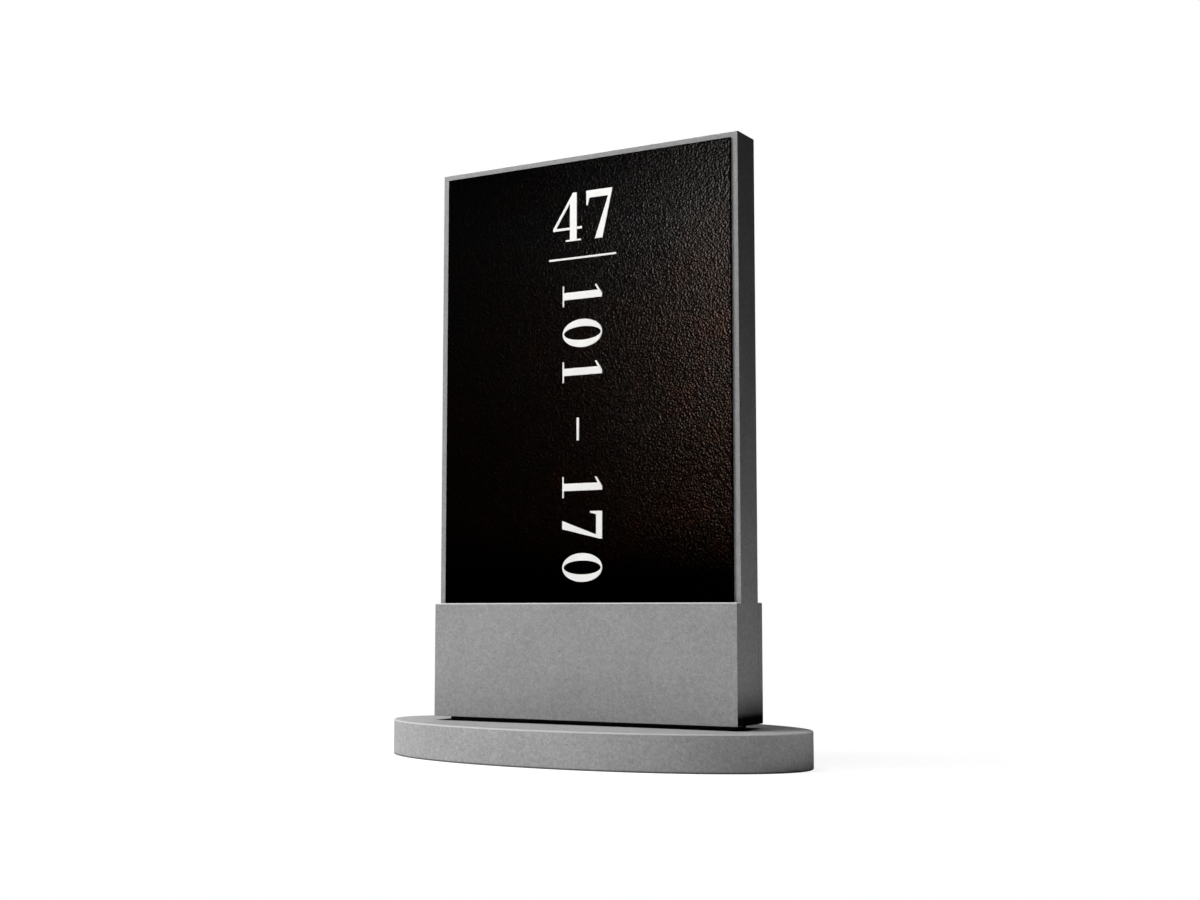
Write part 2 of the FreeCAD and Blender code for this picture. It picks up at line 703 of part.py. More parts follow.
def four_outlines(height):
    """The outside of a four and the triangle inside it."""
    left, right, arm_low, arm = "0.40", "(0.40 + stem_share)", "0.24", "(0.24 + hairline_share * 1.4)"
    crown, slope_inset, serif = "0.47", "0.07", "0.10"
    foot = [(f"{left} - {serif}", "0"), (f"{right} + {serif}", "0"), (f"{right} + {serif}", "hairline_share")]
    arm_end = [(right, "hairline_share"), (right, arm_low), (FOUR_SHARE, arm_low), (FOUR_SHARE, arm)]
    top = [(right, arm), (right, "1"), (crown, "1"), ("0", arm), ("0", arm_low)]
    heel = [(left, arm_low), (left, "hairline_share"), (f"{left} - {serif}", "hairline_share")]
    counter = [(slope_inset, arm), (left, arm)]
    counter += [(left, f"{arm} + ({left} - {slope_inset}) * (1 - {arm}) / {crown}")]
    return scaled(foot + arm_end + top + heel, height), scaled(counter, height)


def numeral_body(label, away, turn, x, z):
    """A numeral stands on the panel's face; it is drawn upright, or reading downwards when turned."""
    return new_body(label, x=f"{-away} * ({x})", y=f"{away} * {panel_front}", z=z, turn=turn)


def downward(corners, start):
    """Corners of a figure in a line that reads downwards from a start height."""
    return [(v, f"-({start}) - {u}") for u, v in corners]


def make_number(suffix, away, turn):
    """The upright street number and the bar below it."""
    low = f"{sign_top} - number_drop"
    total = f"(({FOUR_SHARE} + {SEVEN_SHARE}) * number_height + number_spacing)"
    four = numeral_body("digit_four_" + suffix, away, turn, f"-{total} / 2", low)
    outline = new_sketch(four, "XZ_Plane")
    for loop in four_outlines("number_height"):
        add_polygon(outline, loop)
    pad(four, outline, "numeral_thickness")
    seven_left = f"{total} / 2 - {SEVEN_SHARE} * number_height"
    seven = numeral_body("digit_seven_" + suffix, away, turn, seven_left, low)
    outline = new_sketch(seven, "XZ_Plane")
    add_polygon(outline, seven_outline("number_height"))
    pad(seven, outline, "numeral_thickness")
    bar = numeral_body("divider_bar_" + suffix, away, turn, "0", f"{sign_top} - divider_drop")
    outline = new_sketch(bar, "XZ_Plane")
    half, rise = "divider_length / 2", "divider_height / 2"
    add_rectangle(outline, f"-{half}", half, f"-{rise}", rise)
    pad(bar, outline, "numeral_thickness")


RANGE_WORDS = (("one", "zero", "one"), ("dash",), ("one", "seven", "zero"))
FIGURE_SHARES = {"one": ONE_SHARE, "zero": ZERO_SHARE, "seven": SEVEN_SHARE, "dash": DASH_SHARE}


def range_starts():
    """Where each figure of the downward line begins, by kind, counted from the line's head.

    The gaps between the words take up what the figures leave of the line, which ends above the plinth."""
    figures_share = sum(FIGURE_SHARES[figure] for word in RANGE_WORDS for figure in word)
    spacings = sum(len(word) - 1 for word in RANGE_WORDS)
    taken = f"({figures_share} * range_height + {spacings} * range_spacing)"
    word_gap = f"(blade_rise - range_drop - range_foot_gap - {taken}) / {len(RANGE_WORDS) - 1}"
    starts = {figure: [] for figure in FIGURE_SHARES}
    share, gaps = 0, 0
    for words_before, word in enumerate(RANGE_WORDS):
        for figure in word:
            place = f"{share} * range_height + {gaps} * range_spacing + {words_before} * {word_gap}"
            starts[figure].append(place)
            share += FIGURE_SHARES[figure]
            gaps += 1
        gaps -= 1
    return starts


def make_range(suffix, away, turn):
    """The downward line of plain numbers, one node for each kind of figure."""
    starts = range_starts()
    low, head = "-range_height / 2", f"{sign_top} - range_drop"
    ones = numeral_body("range_ones_" + suffix, away, turn, low, head)
    outline = new_sketch(ones, "XZ_Plane")
    for start in starts["one"]:
        add_polygon(outline, downward(one_outline("range_height"), start))
    pad(ones, outline, "numeral_thickness")
    zeros = numeral_body("range_zeros_" + suffix, away, turn, low, head)
    outline = new_sketch(zeros, "XZ_Plane")
    for start in starts["zero"]:
        middle = f"-({start}) - {ZERO_SHARE} / 2 * range_height"
        add_ellipse(outline, "range_height / 2", middle, "range_height", f"{ZERO_SHARE} * range_height")
        across = "(1 - 2 * hairline_share) * range_height"
        along = f"({ZERO_SHARE} - 2 * stem_share) * range_height"
        add_ellipse(outline, "range_height / 2", middle, across, along)
    pad(zeros, outline, "numeral_thickness")
    seven = numeral_body("range_seven_" + suffix, away, turn, low, head)
    outline = new_sketch(seven, "XZ_Plane")
    add_polygon(outline, downward(seven_outline("range_height"), starts["seven"][0]))
    pad(seven, outline, "numeral_thickness")
    dash = numeral_body("range_dash_" + suffix, away, turn, low, head)
    outline = new_sketch(dash, "XZ_Plane")
    under, over = "0.36", "0.42"
    corners = [("0", under), (DASH_SHARE, under), (DASH_SHARE, over), ("0", over)]
    add_polygon(outline, downward(scaled(corners, "range_height"), starts["dash"][0]))
    pad(dash, outline, "numeral_thickness")


def make_face(suffix, away, turn):
    """One face of the sign; away is the side of the middle plane that it stands on."""
    make_board("board_" + suffix, away, turn)
    make_board_screws("board_screws_" + suffix, away, turn)
    make_bushes("panel_bushes_" + suffix, away, turn, PANEL_CLIPS, "(blade_depth / 2 - fit_clearance)")
    make_bushes("cover_bushes_" + suffix, away, turn, COVER_CLIPS, f"({frame_depth} / 2 + flange_height)")
    make_face_panel("face_panel_" + suffix, away, turn)
    make_panel_studs("panel_studs_" + suffix, away, turn)
    make_plinth_cover("plinth_cover_" + suffix, away, turn)
    make_cover_studs("cover_studs_" + suffix, away, turn)
    make_number(suffix, away, turn)
    make_range(suffix, away, turn)


make_base_slab()
make_anchor_ferrules()
make_foot_plate("bedding_pad", "slab_thickness", "pad_thickness")
make_foot_plate("base_plate", plate_low, "plate_thickness")
make_anchor_studs()
make_anchor_washers()
make_anchor_nuts()
make_post("post_left", -1)
make_post("post_right", 1)
make_post_gussets()
make_rail("lower_rail", lower_rail_height)
make_rail("middle_rail", middle_rail_height)
make_top_rail()
make_post_plugs()
make_cheek("cheek_left", -1)
make_cheek("cheek_right", 1)
make_cheek_fixings()
make_top_cap()
make_cap_fixings()
make_face("front", -1, 0)
make_face("rear", 1, 180)
doc.recompute()

for thing in doc.Objects:
    if "Invalid" in thing.State or "Error" in thing.State:
        raise RuntimeError(thing.Label + ": " + ", ".join(thing.State))
for body in finished:
    if body.Shape.isNull() or not body.Shape.isValid() or not body.Shape.Solids:
        raise RuntimeError(body.Label + " has no valid solid")
    body.Shape.exportStep("parts/%s.step" % body.Label)
    print(body.Label, len(body.Shape.Solids), round(body.Shape.Volume / 1000, 2), "cm3")
print(len(finished), "sub-parts")
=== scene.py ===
"""Looks of the street number sign: concrete, a hammered plate on each face, white figures and a studio.

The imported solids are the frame. The pieces that show are modelled over them, and the rest get finishes.
"""

import json
import math
from typing import NamedTuple

import bmesh
import bpy
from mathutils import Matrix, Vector

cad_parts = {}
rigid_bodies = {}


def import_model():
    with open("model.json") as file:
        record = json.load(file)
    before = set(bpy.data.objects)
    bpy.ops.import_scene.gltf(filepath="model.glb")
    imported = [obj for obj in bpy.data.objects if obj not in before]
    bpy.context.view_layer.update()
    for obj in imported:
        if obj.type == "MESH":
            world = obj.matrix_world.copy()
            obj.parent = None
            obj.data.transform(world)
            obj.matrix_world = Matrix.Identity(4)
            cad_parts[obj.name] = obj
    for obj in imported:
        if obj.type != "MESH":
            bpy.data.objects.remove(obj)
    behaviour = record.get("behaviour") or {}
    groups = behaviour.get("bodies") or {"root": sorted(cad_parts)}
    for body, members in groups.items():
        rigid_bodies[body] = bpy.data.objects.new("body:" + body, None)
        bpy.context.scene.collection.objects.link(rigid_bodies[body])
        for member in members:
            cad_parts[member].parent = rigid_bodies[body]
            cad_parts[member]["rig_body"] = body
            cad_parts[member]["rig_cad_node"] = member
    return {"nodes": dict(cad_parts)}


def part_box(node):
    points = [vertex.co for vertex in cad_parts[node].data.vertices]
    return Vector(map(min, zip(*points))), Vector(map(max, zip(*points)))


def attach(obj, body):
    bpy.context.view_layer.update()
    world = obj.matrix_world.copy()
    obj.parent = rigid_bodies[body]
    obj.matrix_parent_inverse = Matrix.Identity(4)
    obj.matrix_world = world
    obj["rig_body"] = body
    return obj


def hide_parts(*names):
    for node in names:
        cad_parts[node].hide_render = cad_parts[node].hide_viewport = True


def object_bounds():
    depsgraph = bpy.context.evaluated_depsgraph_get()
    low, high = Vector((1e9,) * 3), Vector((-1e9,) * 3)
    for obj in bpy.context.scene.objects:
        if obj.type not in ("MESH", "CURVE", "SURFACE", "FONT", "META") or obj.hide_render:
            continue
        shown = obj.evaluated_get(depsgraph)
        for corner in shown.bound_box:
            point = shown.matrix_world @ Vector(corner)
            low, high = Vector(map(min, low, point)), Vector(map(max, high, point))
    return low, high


bl_info = {
    "name": "Street number sign",
    "version": (1, 0, 0),
    "blender": (4, 5, 0),
    "location": "3D View > Sidebar > Sign",
    "description": "Models the concrete, plates and figures of a street number sign, and its studio",
    "category": "Object",
}

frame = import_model()
cad_nodes = frame["nodes"]
cad_low, cad_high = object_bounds()

# Nodes that are handled alike
FACES = ("front", "rear")
FIGURES = (
    "digit_four", "digit_seven", "divider_bar",
    "range_ones", "range_zeros", "range_seven", "range_dash",
)
TUBE_FRAME = ("post_left", "post_right", "post_gussets", "lower_rail", "middle_rail", "top_rail")
ZINC_FIXINGS = (
    "anchor_ferrules", "anchor_studs", "anchor_washers", "anchor_nuts",
    "cheek_inserts", "cheek_spacers", "cheek_bolts",
    "cap_inserts", "cap_spacers", "cap_bolts",
    "board_screws_front", "board_screws_rear",
)
PULL_OFF_PINS = ("panel_studs_front", "panel_studs_rear", "cover_studs_front", "cover_studs_rear")
GRIP_CLIPS = (
    "panel_bushes_front", "panel_bushes_rear", "cover_bushes_front", "cover_bushes_rear",
    "post_plugs",
)

# Axes, the two ends of an axis and the quarters of a plan
X, Y, Z = range(3)
ENDS = (-1, 1)
QUARTERS = ((-1, -1), (1, -1), (-1, 1), (1, 1))

# Modelling
TOUCHING = 1e-5  # metres between places that count as one
MERGED = 0.00002  # metres between the loose corners of a copied solid
BOLT_GAP = 0.05  # metres, less than the distance from one cheek bolt to the next
DRILL_LEAD = 0.002  # metres that a drill bit starts outside the piece
DRILL_POINTS = 48
SLAB_POINTS = 256
FACING = 0.99  # least share of a normal along the axis that its face looks along
SIDEWAYS = 0.5  # most share of a normal along an axis that its face doesn't look along
SHARP_TURN = 0.8  # radians between the two faces of an edge that isn't rounded yet
SMOOTH_TURN = 35  # degrees between faces that are shaded as one
FIGURE_TURN = 30
PLATE_TURN = 40
FLAT_TURN = 1  # degrees between triangles that make up one flat face
FLAT_WEIGHT = 80  # how much large faces lead the shading, from 1 to 100

# Ranges that masks run through
RISING = (0.0, 1.0)
FALLING = (1.0, 0.0)

# The stage: lengths in metres, tones and glows as shares of white
SENSOR_WIDTH = 36.0  # millimetres
CAMERA_REACH = 100.0
FLOOR_RADIUS = 14.0
FLOOR_BORDER = 9.0
FLOOR_POINTS = 96
POOL_MIDDLE = (-0.35, -0.25, 0.0)
POOL_EDGE = (1.1, 1.9)  # distances between which the pool of light on the floor ends
POOL_TONE = (0.8, 0.05)  # of the floor inside and outside the pool
CLOSE_EDGE = (0.8, 1.9)  # distances between which the floor stops taking shadows
CLOSE_GLOW = (1.0, 0.86)  # of the floor further out and close to the sign
SHADOW_TONE = 0.25  # of the floor close to the sign, where it takes shadows
# Glowing cards seen only in gloss, which paint a sheen into the plates' reflections.
CARD_PLACES = {"front_right": (2.4, -2.5), "rear_right": (2.4, 2.5), "rear_left": (-2.4, 2.5)}
CARD_HEIGHT = 1.0
CARD_SIZE = (0.7, 0.7, 1.8)
CARD_GLOW = 0.5
# Drapes seen only in gloss, which paint a dark reflection with a faint glow into the plates.
DRAPE_SIZE = (12.0, 4.0, 5.18)
DRAPE_MIDDLE = (-1.0, 2.2, 2.6)
DRAPE_RISE = (0.6, 1.6)  # heights between which the drapes turn paler
DRAPE_GLOW = (0.0, 0.0225)  # of the drapes at those heights
SIGN_MIDDLE = (cad_low + cad_high) / 2
UPPER_SIGN = (0.0, 0.0, 1.35)


class Lamp(NamedTuple):
    """An area lamp: where it is, the point that it faces, its size, and which surfaces it reaches."""

    place: tuple
    aim: tuple
    width: float
    height: float
    shows_in_gloss: bool = False
    lights_matte: bool = True


LAMPS = {
    "key_light": Lamp((-5.8, -4.1, 4.5), SIGN_MIDDLE, width=2.9, height=2.9),
    "front_light": Lamp(
        (0.0, -2.9, 1.92), UPPER_SIGN, width=0.7, height=1.2, shows_in_gloss=True, lights_matte=False
    ),
    "rear_light": Lamp((-2.0, 2.3, 1.1), SIGN_MIDDLE, width=1.2, height=1.2),
    "back_light": Lamp((0.0, 2.9, 1.92), UPPER_SIGN, width=0.7, height=1.2, shows_in_gloss=True),
    "top_light": Lamp((-0.3, -0.75, 3.3), (-0.1, -0.3, 0.0), width=1.3, height=1.3),
    "low_right": Lamp((0.95, -0.05, 0.004), (0.95, -0.05, 2.0), width=0.35, height=0.9),
    "low_front": Lamp((0.55, -1.15, 0.004), (0.55, -1.15, 2.0), width=2.2, height=1.5),
}


# Settings that a user may change
def colour(name, description, default):
    return bpy.props.FloatVectorProperty(
        name=name, description=description, subtype="COLOR", size=3, min=0.0, max=1.0, default=default
    )


def length(name, description, default):
    return bpy.props.FloatProperty(
        name=name, description=description, default=default, min=0.0, precision=4, unit="LENGTH"
    )


def angle(name, description, degrees):
    return bpy.props.FloatProperty(
        name=name, description=description, default=math.radians(degrees), subtype="ANGLE"
    )


def power(name, description, default):
    return bpy.props.FloatProperty(
        name=name, description=description, default=default, min=0.0, unit="POWER"
    )


class SignConcrete(bpy.types.PropertyGroup):
    """Sizes and colours of the slab, cheeks, cap and plinth covers."""

    pale: colour("Pale cement", "Colour of the cement where it is palest", (0.375, 0.375, 0.374))
    deep: colour("Deep cement", "Colour of the cement where it is deepest", (0.225, 0.225, 0.224))
    slab_pale: colour("Pale slab", "Colour of the slab's cement where it is palest", (0.420, 0.420, 0.419))
    slab_deep: colour("Deep slab", "Colour of the slab's cement where it is deepest", (0.252, 0.252, 0.251))
    pit: colour("Pits", "Colour inside the small air pits", (0.11, 0.11, 0.108))
    # The next colour and the heights and widths below it paint shade: a dark line at the slab's foot, a
    # dark patch below the plinth, and dark on the plinth's shaded end.
    shade_colour: colour("Painted shade colour", "Colour of the dirt along the foot", (0.002, 0.002, 0.002))
    ground_shade_start: length("Full ground shade", "Height below which the dirt on the slab is thickest", 0.0015)
    ground_shade_top: length("Ground shade height", "Height that dirt from the ground reaches on the slab", 0.006)
    under_shade_border: length("Under shade border", "Width over which the painted shade below the plinth fades", 0.004)
    # Painted shade on the plinth's shaded end: how high it reaches, and where it is black.
    end_shade_top: length("End shade height", "Height that the painted shade reaches on the shaded end of the plinth", 0.190)
    black_foot: length("Black foot", "Height of the black on that end, above its foot", 0.019)
    black_top: length("Top of the black", "Height at which that black has faded, above its foot", 0.044)
    arris: length("Arris radius", "Rounding of the sharper edges of the cladding", 0.001)
    cover_arris: length("Cover arris radius", "Rounding of the upper edge and corners of the covers", 0.003)
    rim: length("Slab rim radius", "Rounding of the slab's upper rim", 0.004)
    foot: length("Slab foot bevel", "Bevel of the slab's lower edge", 0.003)
    cover_wall: length("Cover wall", "Thickness of a plinth cover's face", 0.010)
    cover_return: length("Cover return", "Thickness of a plinth cover's four sides", 0.012)
    ferrule: length("Ferrule radius", "Outer radius of a ferrule in the slab", 0.013)
    socket: length("Ferrule socket radius", "Radius of the slab's sockets for the ferrules", 0.0131)
    socket_depth: length("Ferrule socket depth", "Depth of the slab's sockets for the ferrules", 0.0551)
    pin_along: length("Pin place along", "Distance of a pin hole from the middle, along the sign", 0.350)
    pin_through: length("Pin place through", "Distance of a pin hole from the middle, through it", 0.100)
    pin_hole: length("Pin hole radius", "Radius of the ground pin holes under the slab", 0.011)
    pin_depth: length("Pin hole depth", "Depth of the ground pin holes under the slab", 0.055)
    insert: length("Insert radius", "Outer radius of a threaded insert", 0.007)
    insert_hole: length("Insert hole radius", "Radius of the holes for the threaded inserts", 0.0071)
    insert_depth: length("Insert hole depth", "Depth of the holes for the threaded inserts", 0.0121)
    grain: length("Grain size", "Size of the sand grains that show", 0.0048)
    relief: length("Grain relief", "Height of the sand grains", 0.0003)


class SignPlate(bpy.types.PropertyGroup):
    """Sizes and colours of the hammered face plates."""

    dark: colour("Dark patina", "Colour of the plate's dark patina", (0.0445, 0.0408, 0.0393))
    brown: colour("Brown patina", "Colour of the plate where its patina is brown", (0.0490, 0.0280, 0.0195))
    rust: colour("Rust", "Colour of the few reddish patches low on the plate", (0.092, 0.0300, 0.0157))
    brown_top: length("Top of the brown", "Height at which the patina starts to turn brown", 1.50)
    brown_foot: length("Foot of the brown", "Height below which the patina is brown", 0.60)
    # Painted shade on the plate: black at its foot and darker towards its top, where its reflections fade.
    dark_foot_low: length("Foot of the painted darkness", "Height below which the plate is painted black", 0.47)
    dark_foot_top: length("Top of the painted darkness", "Height above which the patina is clear of painted darkness", 0.62)
    shade_foot: length("Foot of the shade", "Height above which the plate is painted darker towards the top", 1.36)
    # Painted shade: a thin black band along the plate's side and top edges.
    black_edge: length("Black edge", "Width of the blackened edge at the sides and top", 0.0035)
    step: length("Mesh step", "Distance between the points of the hammered surface", 0.0034)
    pitch: length("Hammer pitch", "Distance between neighbouring hammer marks", 0.010)
    depth: length("Hammer depth", "Depth of the hammer marks", 0.00015)
    pebble: length("Pebble size", "Size of the fine pebbles over the hammer marks", 0.0052)
    pebble_height: length("Pebble height", "Height of the fine pebbles", 0.00106)
    round_edge: length("Edge radius", "Rounding of the plate's front edges", 0.0008)


class SignFigures(bpy.types.PropertyGroup):
    """Sizes and colours of the numerals."""

    paint: colour("White paint", "Colour of the numerals", (0.90, 0.89, 0.87))
    eased_edge: length("Eased edge", "Bevel of the numerals' front edges", 0.0003)


class SignMetal(bpy.types.PropertyGroup):
    """Colours of the frame, the fixings and the boards inside."""

    galvanised: colour("Galvanising", "Colour of the galvanised frame", (0.55, 0.57, 0.58))
    zinc: colour("Zinc plating", "Colour of the plated fixings", (0.62, 0.62, 0.58))
    stainless: colour("Stainless steel", "Colour of the pull-off pins", (0.60, 0.60, 0.60))
    nylon: colour("Nylon", "Colour of the clips and plugs", (0.05, 0.05, 0.05))
    foot_paint: colour("Foot paint", "Colour of the base plate's black paint", (0.012, 0.012, 0.012))
    rubber: colour("Rubber", "Colour of the bedding pad", (0.020, 0.020, 0.020))
    board: colour("Backing board", "Colour of the boards behind the plates", (0.12, 0.11, 0.10))


class SignStage(bpy.types.PropertyGroup):
    """The camera, the power of the lamps, and the backdrop."""

    eye: bpy.props.FloatVectorProperty(
        name="Camera place",
        description="Where the camera stands",
        subtype="TRANSLATION",
        unit="LENGTH",
        size=3,
        default=(2.23475, -3.79533, 0.38048),
    )
    turn: angle("Camera turn", "How far the camera turns to the left of straight ahead", 30.242)
    tilt: angle("Camera tilt", "How far the camera looks up", 5.497)
    lens: bpy.props.FloatProperty(
        name="Lens", description="Focal length on a 36 mm sensor", default=50.54, min=1.0, unit="CAMERA"
    )
    key_light: power("Key light", "Power of the large lamp at the left", 630.0)
    front_light: power("Front light", "Power of the tall lamp in the front plate's gloss", 19.0)
    rear_light: power("Rear light", "Power of the large lamp behind at the left", 48.0)
    back_light: power("Back light", "Power of the tall lamp behind", 19.0)
    top_light: power("Top light", "Power of the lamp overhead", 60.5)
    low_right: power("Low right", "Power of the strip on the floor at the right, which faces up", 1.79)
    low_front: power("Low front", "Power of the panel on the floor in front, which faces up", 4.95)
    room_light: bpy.props.FloatProperty(
        name="Room light",
        description="Brightness of the room around the lamps",
        subtype="FACTOR",
        min=0.0,
        max=1.0,
        default=0.006,
    )
    backdrop: colour("Backdrop", "Colour of the background and the floor", (1.0, 1.0, 1.0))


SETTINGS = (
    ("sign_concrete", SignConcrete),
    ("sign_plate", SignPlate),
    ("sign_figures", SignFigures),
    ("sign_metal", SignMetal),
    ("sign_stage", SignStage),
)


# Modelling by hand: a start shape, a choice of its parts, and a finish
def select_only(piece):
    bpy.ops.object.select_all(action="DESELECT")
    bpy.context.view_layer.objects.active = piece
    piece.select_set(True)


def settle(name):
    """Names the shape just added and puts its place and size into its mesh."""
    piece = bpy.context.active_object
    piece.name = name
    piece.data.name = name
    bpy.ops.object.transform_apply(location=True, rotation=True, scale=True)
    return piece


def start_shape(name, add, **settings):
    """Adds a primitive, with nothing else selected, and settles it."""
    bpy.ops.object.select_all(action="DESELECT")
    add(**settings)
    return settle(name)


def start_block(name, low, high):
    return start_shape(
        name, bpy.ops.mesh.primitive_cube_add, size=1, location=(low + high) / 2, scale=high - low
    )


def start_round(name, **settings):
    return start_shape(name, bpy.ops.mesh.primitive_cylinder_add, **settings)


def edit(piece):
    select_only(piece)
    bpy.ops.object.mode_set(mode="EDIT")


def leave_edit():
    bpy.ops.object.mode_set(mode="OBJECT")


def choose(piece, kind, wanted):
    """Selects the vertices, edges or faces of the piece in edit mode that are wanted."""
    bpy.ops.mesh.select_mode(type=kind)
    bpy.ops.mesh.select_all(action="DESELECT")
    mesh = bmesh.from_edit_mesh(piece.data)
    parts = {"VERT": mesh.verts, "EDGE": mesh.edges, "FACE": mesh.faces}[kind]
    found = [part for part in parts if wanted(part)]
    if not found:
        raise RuntimeError(f"{piece.name}: nothing to select")
    for part in found:
        part.select_set(True)
    mesh.select_flush_mode()
    bmesh.update_edit_mesh(piece.data)


def near(a, b):
    return abs(a - b) < TOUCHING


def edge_lies(axis, level):
    """True for edges whose two ends lie at that level on the axis."""
    return lambda edge: all(near(vert.co[axis], level) for vert in edge.verts)


def edge_runs(axis):
    """True for edges that run along that axis."""

    def runs(edge):
        run = edge.verts[0].co - edge.verts[1].co
        return all(near(run[other], 0.0) for other in (X, Y, Z) if other != axis)

    return runs


def round_edges(piece, wanted, radius, segments):
    choose(piece, "EDGE", wanted)
    bpy.ops.mesh.bevel(offset=radius, segments=segments, profile=0.5, affect="EDGES", clamp_overlap=False)


def apply_modifier(piece, kind, name, **settings):
    select_only(piece)
    modifier = piece.modifiers.new(name, kind)
    for setting, wanted in settings.items():
        setattr(modifier, setting, wanted)
    bpy.ops.object.modifier_apply(modifier=modifier.name)


def in_quarters(along, through, height):
    """Four points at one height, one in each quarter of the plan."""
    return [(a * along, b * through, height) for a, b in QUARTERS]


def drill(piece, mouths, axis, radius, depth):
    """Cuts like round blind holes with their mouths at those points; depth is signed along the axis."""
    spin = {X: (0, math.pi / 2, 0), Y: (math.pi / 2, 0, 0), Z: (0, 0, 0)}[axis]
    reach = abs(depth) + DRILL_LEAD
    for mouth in mouths:
        middle = Vector(mouth)
        middle[axis] += math.copysign(reach / 2 - DRILL_LEAD, depth)
        bit = start_round(
            "drill_bit", vertices=DRILL_POINTS, radius=radius, depth=reach, location=middle, rotation=spin
        )
        apply_modifier(piece, "BOOLEAN", "hole", operation="DIFFERENCE", solver="EXACT", object=bit)
        bpy.data.meshes.remove(bit.data)


def finish_shape(piece, turn=SMOOTH_TURN):
    """Smooth shading over the rounded edges, with the flat faces kept flat."""
    select_only(piece)
    bpy.ops.object.shade_smooth_by_angle(angle=math.radians(turn))
    apply_modifier(piece, "WEIGHTED_NORMAL", "flat faces", keep_sharp=True, weight=FLAT_WEIGHT)


def duplicate(piece):
    select_only(piece)
    bpy.ops.object.duplicate()
    return bpy.context.active_object


def copy_turned(piece, name):
    """A copy with its own mesh, turned half round the upright axis for the rear face."""
    duplicate(piece).rotation_euler.z = math.pi
    return settle(name)


def place(piece, body, slot, material, *nodes):
    """Gives the piece its finish, lets it ride on its body and shows it instead of the nodes."""
    piece.data.materials.clear()
    piece.data.materials.append(material)
    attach(piece, body)
    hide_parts(*nodes)


def dress(nodes, material):
    """Gives those solids a finish."""
    for name in nodes:
        for slot in cad_nodes[name].material_slots:
            slot.material = material


# Nodes of the finishes
def add_node(tree, kind, label, **settings):
    node = tree.nodes.new(kind)
    node.label = label
    for setting, wanted in settings.items():
        setattr(node, setting, wanted)
    return node


def feed(tree, given, socket):
    """Links a socket to another one, or gives it a plain number or colour."""
    if isinstance(given, bpy.types.NodeSocket):
        tree.links.new(given, socket)
    elif socket.type == "RGBA":
        socket.default_value = (*given, 1.0)
    else:
        socket.default_value = given


def calculate(tree, operation, first, second, label):
    """A Math node; first and second are sockets or plain numbers."""
    node = add_node(tree, "ShaderNodeMath", label, operation=operation)
    feed(tree, first, node.inputs[0])
    feed(tree, second, node.inputs[1])
    return node.outputs[0]


def blend_colours(tree, share, first, second, label):
    """A Mix node for colours, which are its inputs 6 and 7 and its output 2."""
    node = add_node(tree, "ShaderNodeMix", label, data_type="RGBA")
    for number, given in ((0, share), (6, first), (7, second)):
        feed(tree, given, node.inputs[number])
    return node.outputs[2]


def remap(tree, given, span, onto, label, curve="LINEAR"):
    """Carries the values of one span over to another, held at its ends."""
    node = add_node(tree, "ShaderNodeMapRange", label, interpolation_type=curve)
    feed(tree, given, node.inputs["Value"])
    for socket, wanted in zip(("From Min", "From Max", "To Min", "To Max"), (*span, *onto)):
        node.inputs[socket].default_value = wanted
    return node.outputs["Result"]


def split(tree, vector, label):
    """The X, Y and Z of a vector."""
    node = add_node(tree, "ShaderNodeSeparateXYZ", label)
    tree.links.new(vector, node.inputs["Vector"])
    return node.outputs


def add_noise(tree, where, scale, detail, roughness, label):
    node = add_node(tree, "ShaderNodeTexNoise", label)
    wanted = {"Vector": where, "Scale": scale, "Detail": detail, "Roughness": roughness}
    for socket, given in wanted.items():
        feed(tree, given, node.inputs[socket])
    return node.outputs["Fac"]


# Effects that several finishes share
def new_group(name, inputs, output):
    """An empty node group that puts out one mask; an input without a default is a vector."""
    tree = bpy.data.node_groups.new(name, "ShaderNodeTree")
    for socket, default in inputs.items():
        kind = "NodeSocketVector" if default is None else "NodeSocketFloat"
        made = tree.interface.new_socket(name=socket, in_out="INPUT", socket_type=kind)
        if default is not None:
            made.default_value = default
    tree.interface.new_socket(name=output, in_out="OUTPUT", socket_type="NodeSocketFloat")
    return tree, tree.nodes.new("NodeGroupInput").outputs, tree.nodes.new("NodeGroupOutput").inputs[output]


def make_grain_group():
    """Sand grains: a fine speckle over a coarser one."""
    tree, given, out = new_group("Sand grain", {"Vector": None, "Grains per metre": 200.0}, "Speckle")
    scale = given["Grains per metre"]
    wider = calculate(tree, "MULTIPLY", scale, 0.43, "coarser scale")
    fine = add_noise(tree, given["Vector"], scale, detail=1.5, roughness=0.6, label="fine grains")
    coarse = add_noise(tree, given["Vector"], wider, detail=1.0, roughness=0.5, label="coarse grains")
    faint = calculate(tree, "MULTIPLY", coarse, 0.45, "faint coarse grains")
    both = calculate(tree, "ADD", fine, faint, "both sizes")
    tree.links.new(remap(tree, both, (0.43, 1.02), RISING, "even out"), out)


def make_cloud_group():
    """Broad uneven tone, as where a mix has dried unevenly."""
    tree, given, out = new_group("Cloudy tone", {"Vector": None, "Clouds per metre": 12.0}, "Tone")
    scale = given["Clouds per metre"]
    cloud = add_noise(tree, given["Vector"], scale, detail=4.0, roughness=0.55, label="clouds")
    tree.links.new(remap(tree, cloud, (0.3, 0.7), RISING, "even out"), out)


